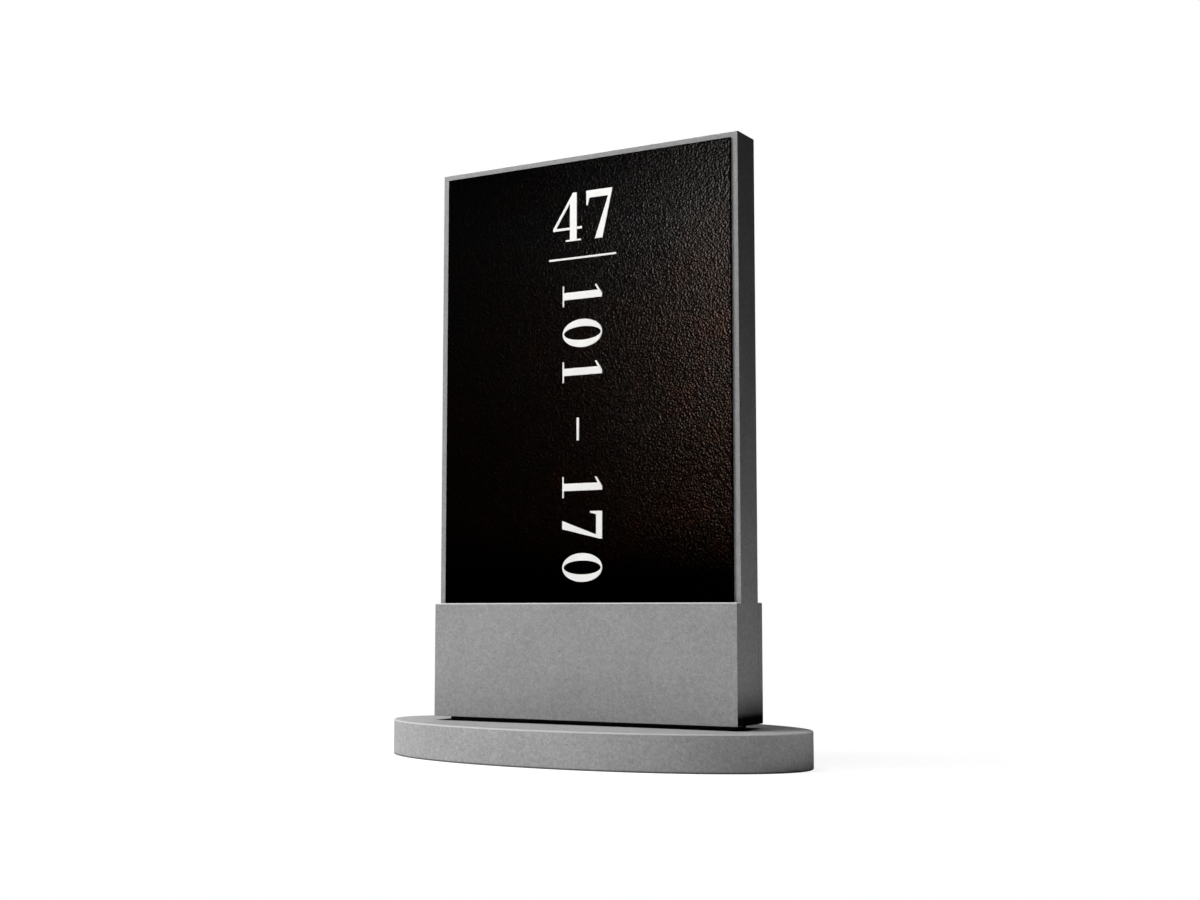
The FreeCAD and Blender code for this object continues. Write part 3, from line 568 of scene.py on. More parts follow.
def make_pit_group():
    """Scattered round pits: 1 inside a pit and 0 outside."""
    inputs = {"Vector": None, "Pits per metre": 60.0, "Pit size": 0.12}
    tree, given, out = new_group("Small pits", inputs, "Pit")
    cells = add_node(tree, "ShaderNodeTexVoronoi", "pit places")
    tree.links.new(given["Vector"], cells.inputs["Vector"])
    tree.links.new(given["Pits per metre"], cells.inputs["Scale"])
    spread = add_node(tree, "ShaderNodeSeparateColor", "size by chance")
    tree.links.new(cells.outputs["Color"], spread.inputs["Color"])
    chance = remap(tree, spread.outputs["Red"], (0.72, 1.0), RISING, "few are pits")
    radius = calculate(tree, "MULTIPLY", chance, given["Pit size"], "radius")
    inside = calculate(tree, "SUBTRACT", radius, cells.outputs["Distance"], "inside")
    tree.links.new(remap(tree, inside, (0.0, 0.05), RISING, "soft wall"), out)


def make_highlight_group():
    """Painted highlight on arrises: 1 on rounded edges that face up and outwards, where light from above
    falls on them, and 0 on level and upright faces.
    """
    tree, given, out = new_group("Worn arris", {"Normal": None}, "Wear")
    rise = split(tree, given["Normal"], "direction")["Z"]
    squared = calculate(tree, "MULTIPLY", rise, rise, "rise squared")
    rest = calculate(tree, "SUBTRACT", 1.0, squared, "rest")
    outwards = calculate(tree, "POWER", rest, 0.5, "outwards")
    slope = calculate(tree, "MINIMUM", rise, outwards, "both ways")
    tree.links.new(remap(tree, slope, (0.03, 0.25), RISING, "painted_highlight"), out)


def make_rub_group():
    """Rubbed edges: 1 on a sharp edge and 0 on a flat face."""
    tree, given, out = new_group("Rubbed edge", {"Width": 0.003}, "Rub")
    softened = add_node(tree, "ShaderNodeBevel", "softened normal", samples=4)
    tree.links.new(given["Width"], softened.inputs["Radius"])
    shape = add_node(tree, "ShaderNodeNewGeometry", "true normal")
    turn = add_node(tree, "ShaderNodeVectorMath", "turn between them", operation="DOT_PRODUCT")
    tree.links.new(softened.outputs["Normal"], turn.inputs[0])
    tree.links.new(shape.outputs["Normal"], turn.inputs[1])
    tree.links.new(remap(tree, turn.outputs["Value"], (0.99, 0.80), RISING, "edge"), out)


def make_shared_effects():
    make_grain_group()
    make_cloud_group()
    make_pit_group()
    make_highlight_group()
    make_rub_group()


def grains(size):
    return "Sand grain", {"Grains per metre": 1.0 / size}


def clouds(per_metre):
    return "Cloudy tone", {"Clouds per metre": per_metre}


def pits(per_metre, size):
    return "Small pits", {"Pits per metre": per_metre, "Pit size": size}


def arris_highlight():
    return "Worn arris", {}


def rubbing(width):
    return "Rubbed edge", {"Width": width}


# Finishes
def start_finish(name, *effects):
    """A material with its shader, and the masks of the wanted effects on the piece's own coordinates."""
    material = bpy.data.materials.new(name)
    material.use_nodes = True
    tree = material.node_tree
    add_node(tree, "ShaderNodeTexCoord", "piece coordinates")
    masks = []
    for group, values in effects:
        node = add_node(tree, "ShaderNodeGroup", group, node_tree=bpy.data.node_groups[group])
        for socket, wanted in values.items():
            node.inputs[socket].default_value = wanted
        for socket, kind in (("Vector", "Object"), ("Normal", "Normal")):
            if socket in node.inputs:
                tree.links.new(on_piece(tree, kind), node.inputs[socket])
        masks.append(node.outputs[0])
    return material, tree, tree.nodes["Principled BSDF"], masks


def on_piece(tree, kind):
    """The place on the piece, kind Object, or the direction of its surface, kind Normal."""
    return tree.nodes["Texture Coordinate"].outputs[kind]


def scaled(tint, factor, lift=0.0):
    """That colour made darker or paler."""
    return tuple(min(1.0, part * factor + lift) for part in tint)


def roughen(tree, shader, mask, unmarked, marked, most=1.0):
    """Roughness that follows a mask: unmarked where the mask is 0, and marked where it is at its most."""
    roughness = remap(tree, mask, (0.0, most), (unmarked, marked), "roughness")
    tree.links.new(roughness, shader.inputs["Roughness"])


def raise_surface(tree, shader, height, distance, strength=1.0):
    bump = add_node(tree, "ShaderNodeBump", "relief")
    bump.inputs["Strength"].default_value = strength
    bump.inputs["Distance"].default_value = distance
    tree.links.new(height, bump.inputs["Height"])
    tree.links.new(bump.outputs["Normal"], shader.inputs["Normal"])


def slab_painted_shade(tree, settings, ground, plinth):
    """Painted shade on the slab: a dark line along the ground, where the slab meets the floor, and a dark
    patch below the plinth, where the gap under it lies in shade.
    """
    axes = split(tree, on_piece(tree, "Object"), "place on the slab")
    rise = (ground + settings.ground_shade_start, ground + settings.ground_shade_top)
    # Painted shade: a dark line along the slab's foot, where it meets the ground.
    foot = remap(tree, axes["Z"], rise, (0.8, 0.0), "shade along the ground")
    across = calculate(tree, "ABSOLUTE", axes["X"], 0.0, "distance along the sign")
    inside = calculate(tree, "ABSOLUTE", axes["Y"], 0.0, "distance through the sign")
    # Painted shade: a dark patch on the slab below the plinth, seen through the gap under it.
    below = remap(tree, across, (plinth.x - settings.under_shade_border, plinth.x), FALLING, "below its length")
    within = remap(tree, inside, (plinth.y - settings.under_shade_border, plinth.y), FALLING, "below its depth")
    under_shade = calculate(tree, "MULTIPLY", below, within, "painted shade below the plinth")
    return calculate(tree, "MAXIMUM", foot, under_shade, "shade paint")


def end_painted_shade(tree, settings, foot):
    """Painted shade on the shaded end of the plinth: darker up from its foot and black at its lowest, where
    the slab shades it.
    """
    height = split(tree, on_piece(tree, "Object"), "place on the cladding")["Z"]
    # Painted shade rising up the end from its foot.
    rising_shade = remap(tree, height, (foot, settings.end_shade_top), (0.8, 0.0), "painted shade rising from the foot")
    # Painted shade: the lowest band of the end is black.
    blackest = (foot + settings.black_foot, foot + settings.black_top)
    black = remap(tree, height, blackest, FALLING, "black foot")
    facing = split(tree, on_piece(tree, "Normal"), "direction")["X"]
    end = remap(tree, facing, (0.5, 0.9), RISING, "shaded end")
    worst = calculate(tree, "MAXIMUM", rising_shade, black, "damp and black")
    return calculate(tree, "MULTIPLY", worst, end, "shade paint")


def make_concrete(name, settings, pale, deep, painted_shading, cloud_count, highlight_tone):
    """Dry cast concrete: sand grain, cloudy tone and air pits, a painted highlight on the rounded edges
    that face up, and painted shade where the given mask puts it.
    """
    material, tree, shader, (grain, tone, pit, painted_highlight) = start_finish(
        name, grains(settings.grain), clouds(cloud_count), pits(per_metre=70.0, size=0.16), arris_highlight()
    )
    clouded = calculate(tree, "MULTIPLY", tone, 0.2, "cloud share")
    grained = calculate(tree, "MULTIPLY", grain, 0.8, "grain share")
    tint = calculate(tree, "ADD", clouded, grained, "tone")
    cement = blend_colours(tree, tint, deep, pale, "cement")
    hollow = calculate(tree, "MULTIPLY", pit, 0.7, "pit share")
    pitted = blend_colours(tree, hollow, cement, settings.pit, "pits")
    # Painted highlight: the share by which up-facing rounded edges turn much paler, as if lit from above.
    rubbed = calculate(tree, "MULTIPLY", painted_highlight, 0.9, "highlight share")
    wear_and_highlight = blend_colours(tree, rubbed, pitted, scaled(pale, highlight_tone), "painted highlight on arrises")
    # Painted shade: the concrete is darkened towards near-black where the given mask says.
    with_shade = blend_colours(tree, painted_shading(tree), wear_and_highlight, settings.shade_colour, "shade_colour")
    tree.links.new(with_shade, shader.inputs["Base Color"])
    roughen(tree, shader, grain, unmarked=0.96, marked=0.84)
    shader.inputs["Specular IOR Level"].default_value = 0.12
    drop = calculate(tree, "MULTIPLY", pit, 2.0, "pit drop")
    surface = calculate(tree, "SUBTRACT", grain, drop, "surface")
    raise_surface(tree, shader, surface, settings.relief, strength=0.6)
    return material


def make_patina(name, settings, half_width, top):
    """A hammered plate with a near-black patina that turns brown in patches; painted shade makes it black
    along its edges and foot, and darker towards its top.
    """
    material, tree, shader, (grain, tone, spots) = start_finish(
        name, grains(0.6 * settings.pebble), clouds(per_metre=5.0), clouds(per_metre=11.0)
    )
    where = on_piece(tree, "Object")
    axes = split(tree, where, "place on the plate")
    height = axes["Z"]
    descent = (settings.brown_top, settings.brown_foot)
    sunk = remap(tree, height, descent, (-0.15, 0.85), "browner lower down")
    patches = remap(tree, tone, RISING, (-0.2, 0.4), "patches")
    browned = calculate(tree, "ADD", sunk, patches, "brown share")
    base = blend_colours(tree, browned, settings.dark, settings.brown, "patina")
    few = remap(tree, spots, (0.55, 1.0), (0.0, 0.9), "few spots")
    low_down = calculate(tree, "MAXIMUM", sunk, 0.0, "low down")
    rusty = calculate(tree, "MULTIPLY", few, low_down, "rust share")
    tint = blend_colours(tree, rusty, base, settings.rust, "rust")
    # Painted shade: the plate's foot is made black.
    dark_foot = remap(tree, height, (settings.dark_foot_low, settings.dark_foot_top), FALLING, "painted dark foot")
    # Painted shade: the plate is made darker towards its top.
    shade = remap(tree, height, (settings.shade_foot, top), (0.0, 0.45), "darker towards the top")
    # Painted shade: a thin black band along the side and top edges, where the edge and its shadow look
    # dark.
    across = calculate(tree, "ABSOLUTE", axes["X"], 0.0, "distance from the middle")
    fade = 0.2 * settings.black_edge
    side = half_width - settings.black_edge
    brow = top - settings.black_edge
    sides = remap(tree, across, (side, side + fade), RISING, "side edges")
    head = remap(tree, height, (brow, brow + fade), RISING, "top edge")
    edges = calculate(tree, "MAXIMUM", sides, head, "edges")
    ends = calculate(tree, "MAXIMUM", dark_foot, shade, "foot and top")
    black = calculate(tree, "MAXIMUM", edges, ends, "all that is blackened")
    edged = blend_colours(tree, black, tint, scaled(settings.dark, 0.04), "painted dark")
    tree.links.new(edged, shader.inputs["Base Color"])
    shader.inputs["Metallic"].default_value = 1.0
    roughen(tree, shader, grain, unmarked=0.22, marked=0.30)
    pebbles = add_node(tree, "ShaderNodeTexVoronoi", "pebbles", feature="SMOOTH_F1")
    pebbles.inputs["Scale"].default_value = 1.0 / settings.pebble
    pebbles.inputs["Smoothness"].default_value = 0.5
    tree.links.new(where, pebbles.inputs["Vector"])
    raise_surface(tree, shader, pebbles.outputs["Distance"], settings.pebble_height)
    return material


def make_paint(name, tint, roughness, grain_size, relief):
    """A sprayed coat with a faint orange-peel surface, slightly rubbed at its edges."""
    material, tree, shader, (grain, tone, rub) = start_finish(
        name, grains(grain_size), clouds(per_metre=25.0), rubbing(width=0.0015)
    )
    polished = scaled(tint, 1.08, lift=0.01)
    coat = blend_colours(tree, tone, scaled(tint, 0.95), tint, "coat")
    rubbed = calculate(tree, "MULTIPLY", rub, 0.5, "rubbed share")
    edged = blend_colours(tree, rubbed, coat, polished, "rubbed edges")
    tree.links.new(edged, shader.inputs["Base Color"])
    roughen(tree, shader, grain, roughness - 0.06, roughness + 0.06)
    raise_surface(tree, shader, grain, relief, strength=0.5)
    return material


def make_galvanised(name, tint):
    """Hot-dip galvanising: large crystals that differ in tone and gloss."""
    material, tree, shader, (grain, tone) = start_finish(name, grains(1.0 / 900.0), clouds(per_metre=9.0))
    crystals = add_node(tree, "ShaderNodeTexVoronoi", "crystals")
    crystals.inputs["Scale"].default_value = 85.0
    tree.links.new(on_piece(tree, "Object"), crystals.inputs["Vector"])
    facet = add_node(tree, "ShaderNodeSeparateColor", "crystal tone")
    tree.links.new(crystals.outputs["Color"], facet.inputs["Color"])
    spangle = blend_colours(tree, facet.outputs["Red"], scaled(tint, 0.72), tint, "spangle")
    tree.links.new(spangle, shader.inputs["Base Color"])
    gloss = calculate(tree, "ADD", facet.outputs["Green"], tone, "gloss")
    roughen(tree, shader, gloss, unmarked=0.32, marked=0.55, most=2.0)
    shader.inputs["Metallic"].default_value = 1.0
    raise_surface(tree, shader, grain, distance=0.0001, strength=0.4)
    return material


def make_turned_metal(name, tint, roughness, grain_size):
    """Turned or rolled metal for fixings, with fine marks and duller patches."""
    material, tree, shader, (grain, tone, rub) = start_finish(
        name, grains(grain_size), clouds(per_metre=60.0), rubbing(width=0.001)
    )
    plated = blend_colours(tree, tone, scaled(tint, 0.75), tint, "plating")
    rubbed = calculate(tree, "MULTIPLY", rub, 0.6, "rubbed share")
    edged = blend_colours(tree, rubbed, plated, scaled(tint, 1.2), "bright edges")
    tree.links.new(edged, shader.inputs["Base Color"])
    roughen(tree, shader, grain, roughness - 0.08, roughness + 0.08)
    shader.inputs["Metallic"].default_value = 1.0
    raise_surface(tree, shader, grain, distance=0.00005, strength=0.5)
    return material


def make_dull_sheet(name, tint, roughness, grain_size, relief):
    """Board, rubber and nylon: matte, grained and slightly uneven in tone."""
    material, tree, shader, (grain, tone, pit) = start_finish(
        name, grains(grain_size), clouds(per_metre=18.0), pits(per_metre=150.0, size=0.10)
    )
    summed = calculate(tree, "ADD", grain, tone, "grain and tone")
    uneven = calculate(tree, "MULTIPLY", summed, 0.5, "mean")
    wear_and_highlight = blend_colours(tree, uneven, scaled(tint, 0.75), scaled(tint, 1.2), "tone")
    hollow = calculate(tree, "MULTIPLY", pit, 0.5, "pit share")
    pitted = blend_colours(tree, hollow, wear_and_highlight, (0.01, 0.01, 0.01), "pits")
    tree.links.new(pitted, shader.inputs["Base Color"])
    roughen(tree, shader, grain, roughness + 0.08, roughness - 0.05)
    raise_surface(tree, shader, grain, relief, strength=0.5)
    return material


# One operator for each piece or group of like pieces
class SIGN_OT_make_slab(bpy.types.Operator):
    """Models the oval base slab with its rounded rim, ferrule sockets and pin holes"""

    bl_idname = "sign.make_slab"
    bl_label = "Base slab"

    def execute(self, context):
        sizes = context.scene.sign_concrete
        low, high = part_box("base_slab")
        middle, size = (low + high) / 2, high - low
        slab = start_round(
            "slab_casting", vertices=SLAB_POINTS, radius=0.5, depth=1, location=middle, scale=size
        )
        edit(slab)
        round_edges(slab, edge_lies(Z, high.z), sizes.rim, segments=5)
        round_edges(slab, edge_lies(Z, low.z), sizes.foot, segments=2)
        leave_edit()
        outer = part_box("anchor_ferrules")[1]
        sockets = in_quarters(outer.x - sizes.ferrule, outer.y - sizes.ferrule, high.z)
        drill(slab, sockets, Z, sizes.socket, -sizes.socket_depth)
        pins = in_quarters(sizes.pin_along, sizes.pin_through, low.z)
        drill(slab, pins, Z, sizes.pin_hole, sizes.pin_depth)
        finish_shape(slab)
        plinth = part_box("plinth_cover_rear")[1]

        # Painted shade on the slab: along its foot and below the plinth.
        def painted_shading(tree):
            return slab_painted_shade(tree, sizes, low.z, plinth)

        pale, deep = sizes.slab_pale, sizes.slab_deep
        # The last tone sets how pale the painted highlight on the slab's rim is.
        finish = make_concrete("Cast concrete", sizes, pale, deep, painted_shading, cloud_count=9.0, highlight_tone=1.2)
        place(slab, "stand", "cast_concrete", finish, "base_slab")
        return {"FINISHED"}


class SIGN_OT_make_cladding(bpy.types.Operator):
    """Models the two side cheeks and the cap, mitred together at the sign's upper corners"""

    bl_idname = "sign.make_cladding"
    bl_label = "Cheeks and cap"

    def execute(self, context):
        sizes = context.scene.sign_concrete
        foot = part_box("cheek_left")[0].z

        # Painted shade on the plinth's shaded end.
        def painted_shading(tree):
            return end_painted_shade(tree, sizes, foot)

        # The last tone sets how pale the painted highlight on the cladding's upper arrises is.
        finish = make_concrete(
            "Concrete cladding", sizes, sizes.pale, sizes.deep, painted_shading, cloud_count=7.0, highlight_tone=1.9
        )
        for side, node in zip(ENDS, ("cheek_left", "cheek_right")):
            place(self.make_cheek(sizes, side, node), "stand", "concrete_cladding", finish, node)
        place(self.make_cap(sizes), "stand", "concrete_cladding", finish, "top_cap")
        return {"FINISHED"}

    def make_cheek(self, sizes, side, node):
        low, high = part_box(node)
        inner, outer = (high.x, low.x) if side < 0 else (low.x, high.x)
        mitre_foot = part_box("top_cap")[0].z
        plank = start_block(f"{node}_plank", low, high)
        edit(plank)
        choose(plank, "VERT", lambda vert: near(vert.co.x, inner) and near(vert.co.z, high.z))
        bpy.ops.transform.translate(value=(0, 0, mitre_foot - high.z))
        upright, outside = edge_runs(Z), edge_lies(X, outer)
        round_edges(plank, lambda edge: upright(edge) and outside(edge), sizes.arris, segments=3)
        leave_edit()
        mouths = [(inner, 0.0, height) for height in self.bolt_heights()]
        drill(plank, mouths, X, sizes.insert_hole, side * sizes.insert_depth)
        finish_shape(plank)
        return plank

    def make_cap(self, sizes):
        low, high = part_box("top_cap")
        cheek_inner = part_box("cheek_right")[0].x
        cap = start_block("cap_plank", low, high)
        edit(cap)
        for side in ENDS:
            end = side * high.x
            choose(cap, "VERT", lambda vert: near(vert.co.x, end) and near(vert.co.z, low.z))
            bpy.ops.transform.translate(value=(side * cheek_inner - end, 0, 0))
        lengthwise, head = edge_runs(X), edge_lies(Z, high.z)
        round_edges(cap, lambda edge: lengthwise(edge) and head(edge), sizes.arris, segments=3)
        leave_edit()
        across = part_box("cap_inserts")[1].x - sizes.insert
        mouths = [(side * across, 0.0, low.z) for side in ENDS]
        drill(cap, mouths, Z, sizes.insert_hole, sizes.insert_depth)
        finish_shape(cap)
        return cap

    def bolt_heights(self):
        """Heights of the cheek bolts: the middles of the groups of insert points."""
        heights = sorted({round(vert.co.z, 3) for vert in cad_nodes["cheek_inserts"].data.vertices})
        groups = [[heights[0]]]
        for height in heights[1:]:
            if height - groups[-1][-1] > BOLT_GAP:
                groups.append([])
            groups[-1].append(height)
        return [(group[0] + group[-1]) / 2 for group in groups]


class SIGN_OT_make_covers(bpy.types.Operator):
    """Models the hollow plinth cover of the front, and turns a copy of it to the rear"""

    bl_idname = "sign.make_covers"
    bl_label = "Plinth covers"

    def execute(self, context):
        sizes = context.scene.sign_concrete
        finish = bpy.data.materials["Concrete cladding"]
        low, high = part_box("plinth_cover_front")
        cover = start_block("cover_front_tray", low, high)
        edit(cover)
        choose(cover, "FACE", lambda face: face.normal.y > FACING)
        bpy.ops.mesh.inset(thickness=sizes.cover_return)
        hollow = high.y - low.y - sizes.cover_wall
        bpy.ops.mesh.extrude_region_move(TRANSFORM_OT_translate={"value": (0, -hollow, 0)})
        deep, face, head = edge_runs(Y), edge_lies(Y, low.y), edge_lies(Z, high.z)

        def outer_corner(edge):
            return deep(edge) and all(
                near(abs(vert.co.x), high.x) and (near(vert.co.z, low.z) or near(vert.co.z, high.z))
                for vert in edge.verts
            )

        def upper(edge):
            return outer_corner(edge) or (face(edge) and head(edge))

        def still_sharp(edge):
            return face(edge) and edge.calc_face_angle(0.0) > SHARP_TURN

        round_edges(cover, upper, sizes.cover_arris, segments=3)
        round_edges(cover, still_sharp, sizes.arris, segments=2)
        leave_edit()
        finish_shape(cover)
        rear = copy_turned(cover, "cover_rear_tray")
        place(cover, "front_cover", "concrete_cladding", finish, "plinth_cover_front")
        place(rear, "rear_cover", "concrete_cladding", finish, "plinth_cover_rear")
        return {"FINISHED"}


class SIGN_OT_make_plates(bpy.types.Operator):
    """Models the hammered face plate of the front, and turns a copy of it to the rear"""

    bl_idname = "sign.make_plates"
    bl_label = "Face plates"

    def execute(self, context):
        sizes = context.scene.sign_plate
        low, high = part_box("face_panel_front")
        finish = make_patina("Dark patina", sizes, high.x, high.z)
        across, along = high.x - low.x, high.z - low.z
        bpy.ops.object.select_all(action="DESELECT")
        bpy.ops.mesh.primitive_grid_add(
            x_subdivisions=round(across / sizes.step),
            y_subdivisions=round(along / sizes.step),
            size=1,
            location=((low.x + high.x) / 2, low.y, (low.z + high.z) / 2),
            rotation=(math.pi / 2, 0, 0),
        )
        bpy.ops.transform.resize(value=(across, 1, along))
        plate = settle("plate_front")
        edit(plate)
        choose(plate, "EDGE", lambda edge: edge.is_boundary)
        bpy.ops.mesh.extrude_region_move(TRANSFORM_OT_translate={"value": (0, high.y - low.y, 0)})
        bpy.ops.mesh.edge_face_add()
        at_face = edge_lies(Y, low.y)

        def outline(edge):
            return at_face(edge) and any(abs(face.normal.y) < SIDEWAYS for face in edge.link_faces)

        round_edges(plate, outline, sizes.round_edge, segments=3)
        choose(plate, "VERT", lambda vert: near(vert.co.y, low.y))
        bpy.ops.mesh.select_less()
        leave_edit()
        marks = plate.vertex_groups.new(name="hammered")
        marks.add([vert.index for vert in plate.data.vertices if vert.select], 1.0, "REPLACE")
        hammer = bpy.data.textures.new("hammer marks", "CLOUDS")
        hammer.noise_scale = sizes.pitch
        hammer.noise_depth = 1
        apply_modifier(
            plate,
            "DISPLACE",
            "hammering",
            texture=hammer,
            texture_coords="LOCAL",
            direction="Y",
            vertex_group="hammered",
            mid_level=0.0,
            strength=sizes.depth,
        )
        bpy.ops.object.shade_smooth_by_angle(angle=math.radians(PLATE_TURN))
        rear = copy_turned(plate, "plate_rear")
        place(plate, "front_panel", "dark_textured_plate", finish, "face_panel_front")
        place(rear, "rear_panel", "dark_textured_plate", finish, "face_panel_rear")
        return {"FINISHED"}


class SIGN_OT_make_figures(bpy.types.Operator):
    """Eases the edges of copies of the flat-cut numerals and paints them white"""

    bl_idname = "sign.make_figures"
    bl_label = "Numerals"

    def execute(self, context):
        sizes = context.scene.sign_figures
        seat = context.scene.sign_plate.depth
        finish = make_paint(
            "White numeral paint", sizes.paint, roughness=0.50, grain_size=0.0012, relief=0.00008
        )
        for side in FACES:
            for figure in FIGURES:
                node = f"{figure}_{side}"
                figures = self.copy_node(node, f"{figure}_{side}_cut")
                low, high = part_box(node)
                face = low.y if side == "front" else high.y
                edit(figures)
                bpy.ops.mesh.select_all(action="SELECT")
                bpy.ops.mesh.remove_doubles(threshold=MERGED)
                bpy.ops.mesh.dissolve_limited(angle_limit=math.radians(FLAT_TURN))
                back = low.y + high.y - face
                choose(figures, "VERT", lambda vert: near(vert.co.y, back))
                bpy.ops.transform.translate(value=(0, math.copysign(seat, back - face), 0))
                round_edges(figures, edge_lies(Y, face), sizes.eased_edge, segments=2)
                leave_edit()
                finish_shape(figures, FIGURE_TURN)
                place(figures, f"{side}_panel", "white_numerals", finish, node)
        return {"FINISHED"}

    def copy_node(self, node, name):
        """A copy of a solid's mesh that no longer counts as the solid."""
        twin = duplicate(cad_nodes[node])
        bpy.ops.object.parent_clear(type="CLEAR_KEEP_TRANSFORM")
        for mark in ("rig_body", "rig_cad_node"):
            del twin[mark]
        return settle(name)


class SIGN_OT_dress_frame(bpy.types.Operator):
    """Gives the steel frame, the foot and the boards their finishes"""

    bl_idname = "sign.dress_frame"
    bl_label = "Frame, foot and boards"

    def execute(self, context):
        tints = context.scene.sign_metal
        dress(TUBE_FRAME, make_galvanised("Galvanised steel", tints.galvanised))
        paint = make_paint(
            "Black foot paint", tints.foot_paint, roughness=0.62, grain_size=0.0020, relief=0.00010
        )
        dress(["base_plate"], paint)
        rubber = make_dull_sheet("Rubber", tints.rubber, roughness=0.82, grain_size=0.0015, relief=0.00010)
        dress(["bedding_pad"], rubber)
        board = make_dull_sheet(
            "Fibre board", tints.board, roughness=0.78, grain_size=0.0035, relief=0.00015
        )
        dress([f"board_{side}" for side in FACES], board)
        return {"FINISHED"}


class SIGN_OT_dress_fixings(bpy.types.Operator):
    """Gives the anchors, bolts, screws, pins and clips their finishes"""

    bl_idname = "sign.dress_fixings"
    bl_label = "Fixings"

    def execute(self, context):
        tints = context.scene.sign_metal
        zinc = make_turned_metal("Zinc plating", tints.zinc, roughness=0.36, grain_size=0.0008)
        dress(ZINC_FIXINGS, zinc)
        stainless = make_turned_metal("Stainless steel", tints.stainless, roughness=0.28, grain_size=0.0005)
        dress(PULL_OFF_PINS, stainless)
        nylon = make_dull_sheet(
            "Black nylon", tints.nylon, roughness=0.52, grain_size=0.0009, relief=0.00004
        )
        dress(GRIP_CLIPS, nylon)
        return {"FINISHED"}


class SIGN_OT_set_stage(bpy.types.Operator):
    """Sets up the pale floor, the white surroundings, the lamps and the camera"""

    bl_idname = "sign.set_stage"
    bl_label = "Stage"

    def execute(self, context):
        scene = context.scene
        stage = scene.sign_stage
        scene.view_settings.view_transform = "Standard"
        self.add_camera(scene, stage)
        self.add_surroundings(scene, stage)
        self.add_floor(stage)
        self.add_drapes()
        self.add_cards()
        for name, lamp in LAMPS.items():
            self.add_lamp(scene, name, lamp, getattr(stage, name))
        return {"FINISHED"}

    def add_camera(self, scene, stage):
        data = bpy.data.cameras.new("photo_camera")
        data.lens = stage.lens
        data.sensor_width = SENSOR_WIDTH
        data.clip_end = CAMERA_REACH
        camera = bpy.data.objects.new("photo_camera", data)
        camera.location = stage.eye
        camera.rotation_euler = (math.pi / 2 + stage.tilt, 0.0, stage.turn)
        scene.collection.objects.link(camera)
        scene.camera = camera

    def add_lamp(self, scene, name, lamp, watts):
        data = bpy.data.lights.new(name, "AREA")
        data.shape = "RECTANGLE"
        data.size = lamp.width
        data.size_y = lamp.height
        data.energy = watts
        panel = bpy.data.objects.new(name, data)
        panel.location = lamp.place
        panel.rotation_euler = (Vector(lamp.aim) - Vector(lamp.place)).to_track_quat("-Z", "Y").to_euler()
        panel.visible_camera = False
        panel.visible_glossy = lamp.shows_in_gloss
        panel.visible_diffuse = lamp.lights_matte
        scene.collection.objects.link(panel)

    def seen_directly(self, tree):
        """1 for rays that show the surroundings to the eye, straight, mirrored or through glass."""
        ray = add_node(tree, "ShaderNodeLightPath", "how it is seen").outputs
        mirrored = calculate(tree, "MAXIMUM", ray["Is Camera Ray"], ray["Is Glossy Ray"], "or mirrored")
        return calculate(tree, "MAXIMUM", mirrored, ray["Is Transmission Ray"], "or through glass")

    def add_surroundings(self, scene, stage):
        """White where the surroundings are seen, and only a faint light of the room on the sign."""
        world = bpy.data.worlds.new("studio")
        world.use_nodes = True
        scene.world = world
        tree = world.node_tree
        room = tree.nodes["Background"]
        room.inputs["Color"].default_value = (*stage.backdrop, 1.0)
        seen = self.seen_directly(tree)
        strength = remap(tree, seen, RISING, (stage.room_light, 1.0), "room or backdrop")
        tree.links.new(strength, room.inputs["Strength"])

    def start_plain(self, name):
        """A material that mirrors nothing, and its tree and shader."""
        material = bpy.data.materials.new(name)
        material.use_nodes = True
        shader = material.node_tree.nodes["Principled BSDF"]
        shader.inputs["Specular IOR Level"].default_value = 0.0
        return material, material.node_tree, shader

    def add_floor(self, stage):
        """A white floor that keeps a faint shadow, and throws a pool of light back at the sign."""
        floor = start_shape(
            "studio_floor",
            bpy.ops.mesh.primitive_circle_add,
            vertices=FLOOR_POINTS,
            radius=FLOOR_RADIUS,
            fill_type="NGON",
            location=(0, 0, cad_low.z),
        )
        edit(floor)
        choose(floor, "FACE", lambda face: True)
        bpy.ops.mesh.inset(thickness=FLOOR_BORDER)
        leave_edit()
        material, tree, shader = self.start_plain("Pale floor")
        shader.inputs["Roughness"].default_value = 1.0
        shader.inputs["Emission Color"].default_value = (*stage.backdrop, 1.0)
        where = add_node(tree, "ShaderNodeTexCoord", "floor coordinates")
        reach = add_node(tree, "ShaderNodeVectorMath", "distance", operation="DISTANCE")
        reach.inputs[1].default_value = POOL_MIDDLE
        tree.links.new(where.outputs["Object"], reach.inputs[0])
        distance = reach.outputs["Value"]
        seen = self.seen_directly(tree)
        unseen = calculate(tree, "SUBTRACT", 1.0, seen, "as the sign sees it")
        pool = remap(tree, distance, POOL_EDGE, POOL_TONE, "pool of light")
        close = remap(tree, distance, CLOSE_EDGE, FALLING, "close to the sign", "SMOOTHERSTEP")
        bounced = calculate(tree, "MULTIPLY", pool, unseen, "bounced tone")
        catcher = calculate(tree, "MULTIPLY", close, SHADOW_TONE, "shadow catcher")
        shown = calculate(tree, "MULTIPLY", catcher, seen, "shown tone")
        tone = calculate(tree, "ADD", bounced, shown, "floor tone")
        tree.links.new(tone, shader.inputs["Base Color"])
        glow = remap(tree, close, RISING, CLOSE_GLOW, "paler further out")
        seen_glow = calculate(tree, "MULTIPLY", glow, seen, "only as seen")
        tree.links.new(seen_glow, shader.inputs["Emission Strength"])
        floor.data.materials.append(material)

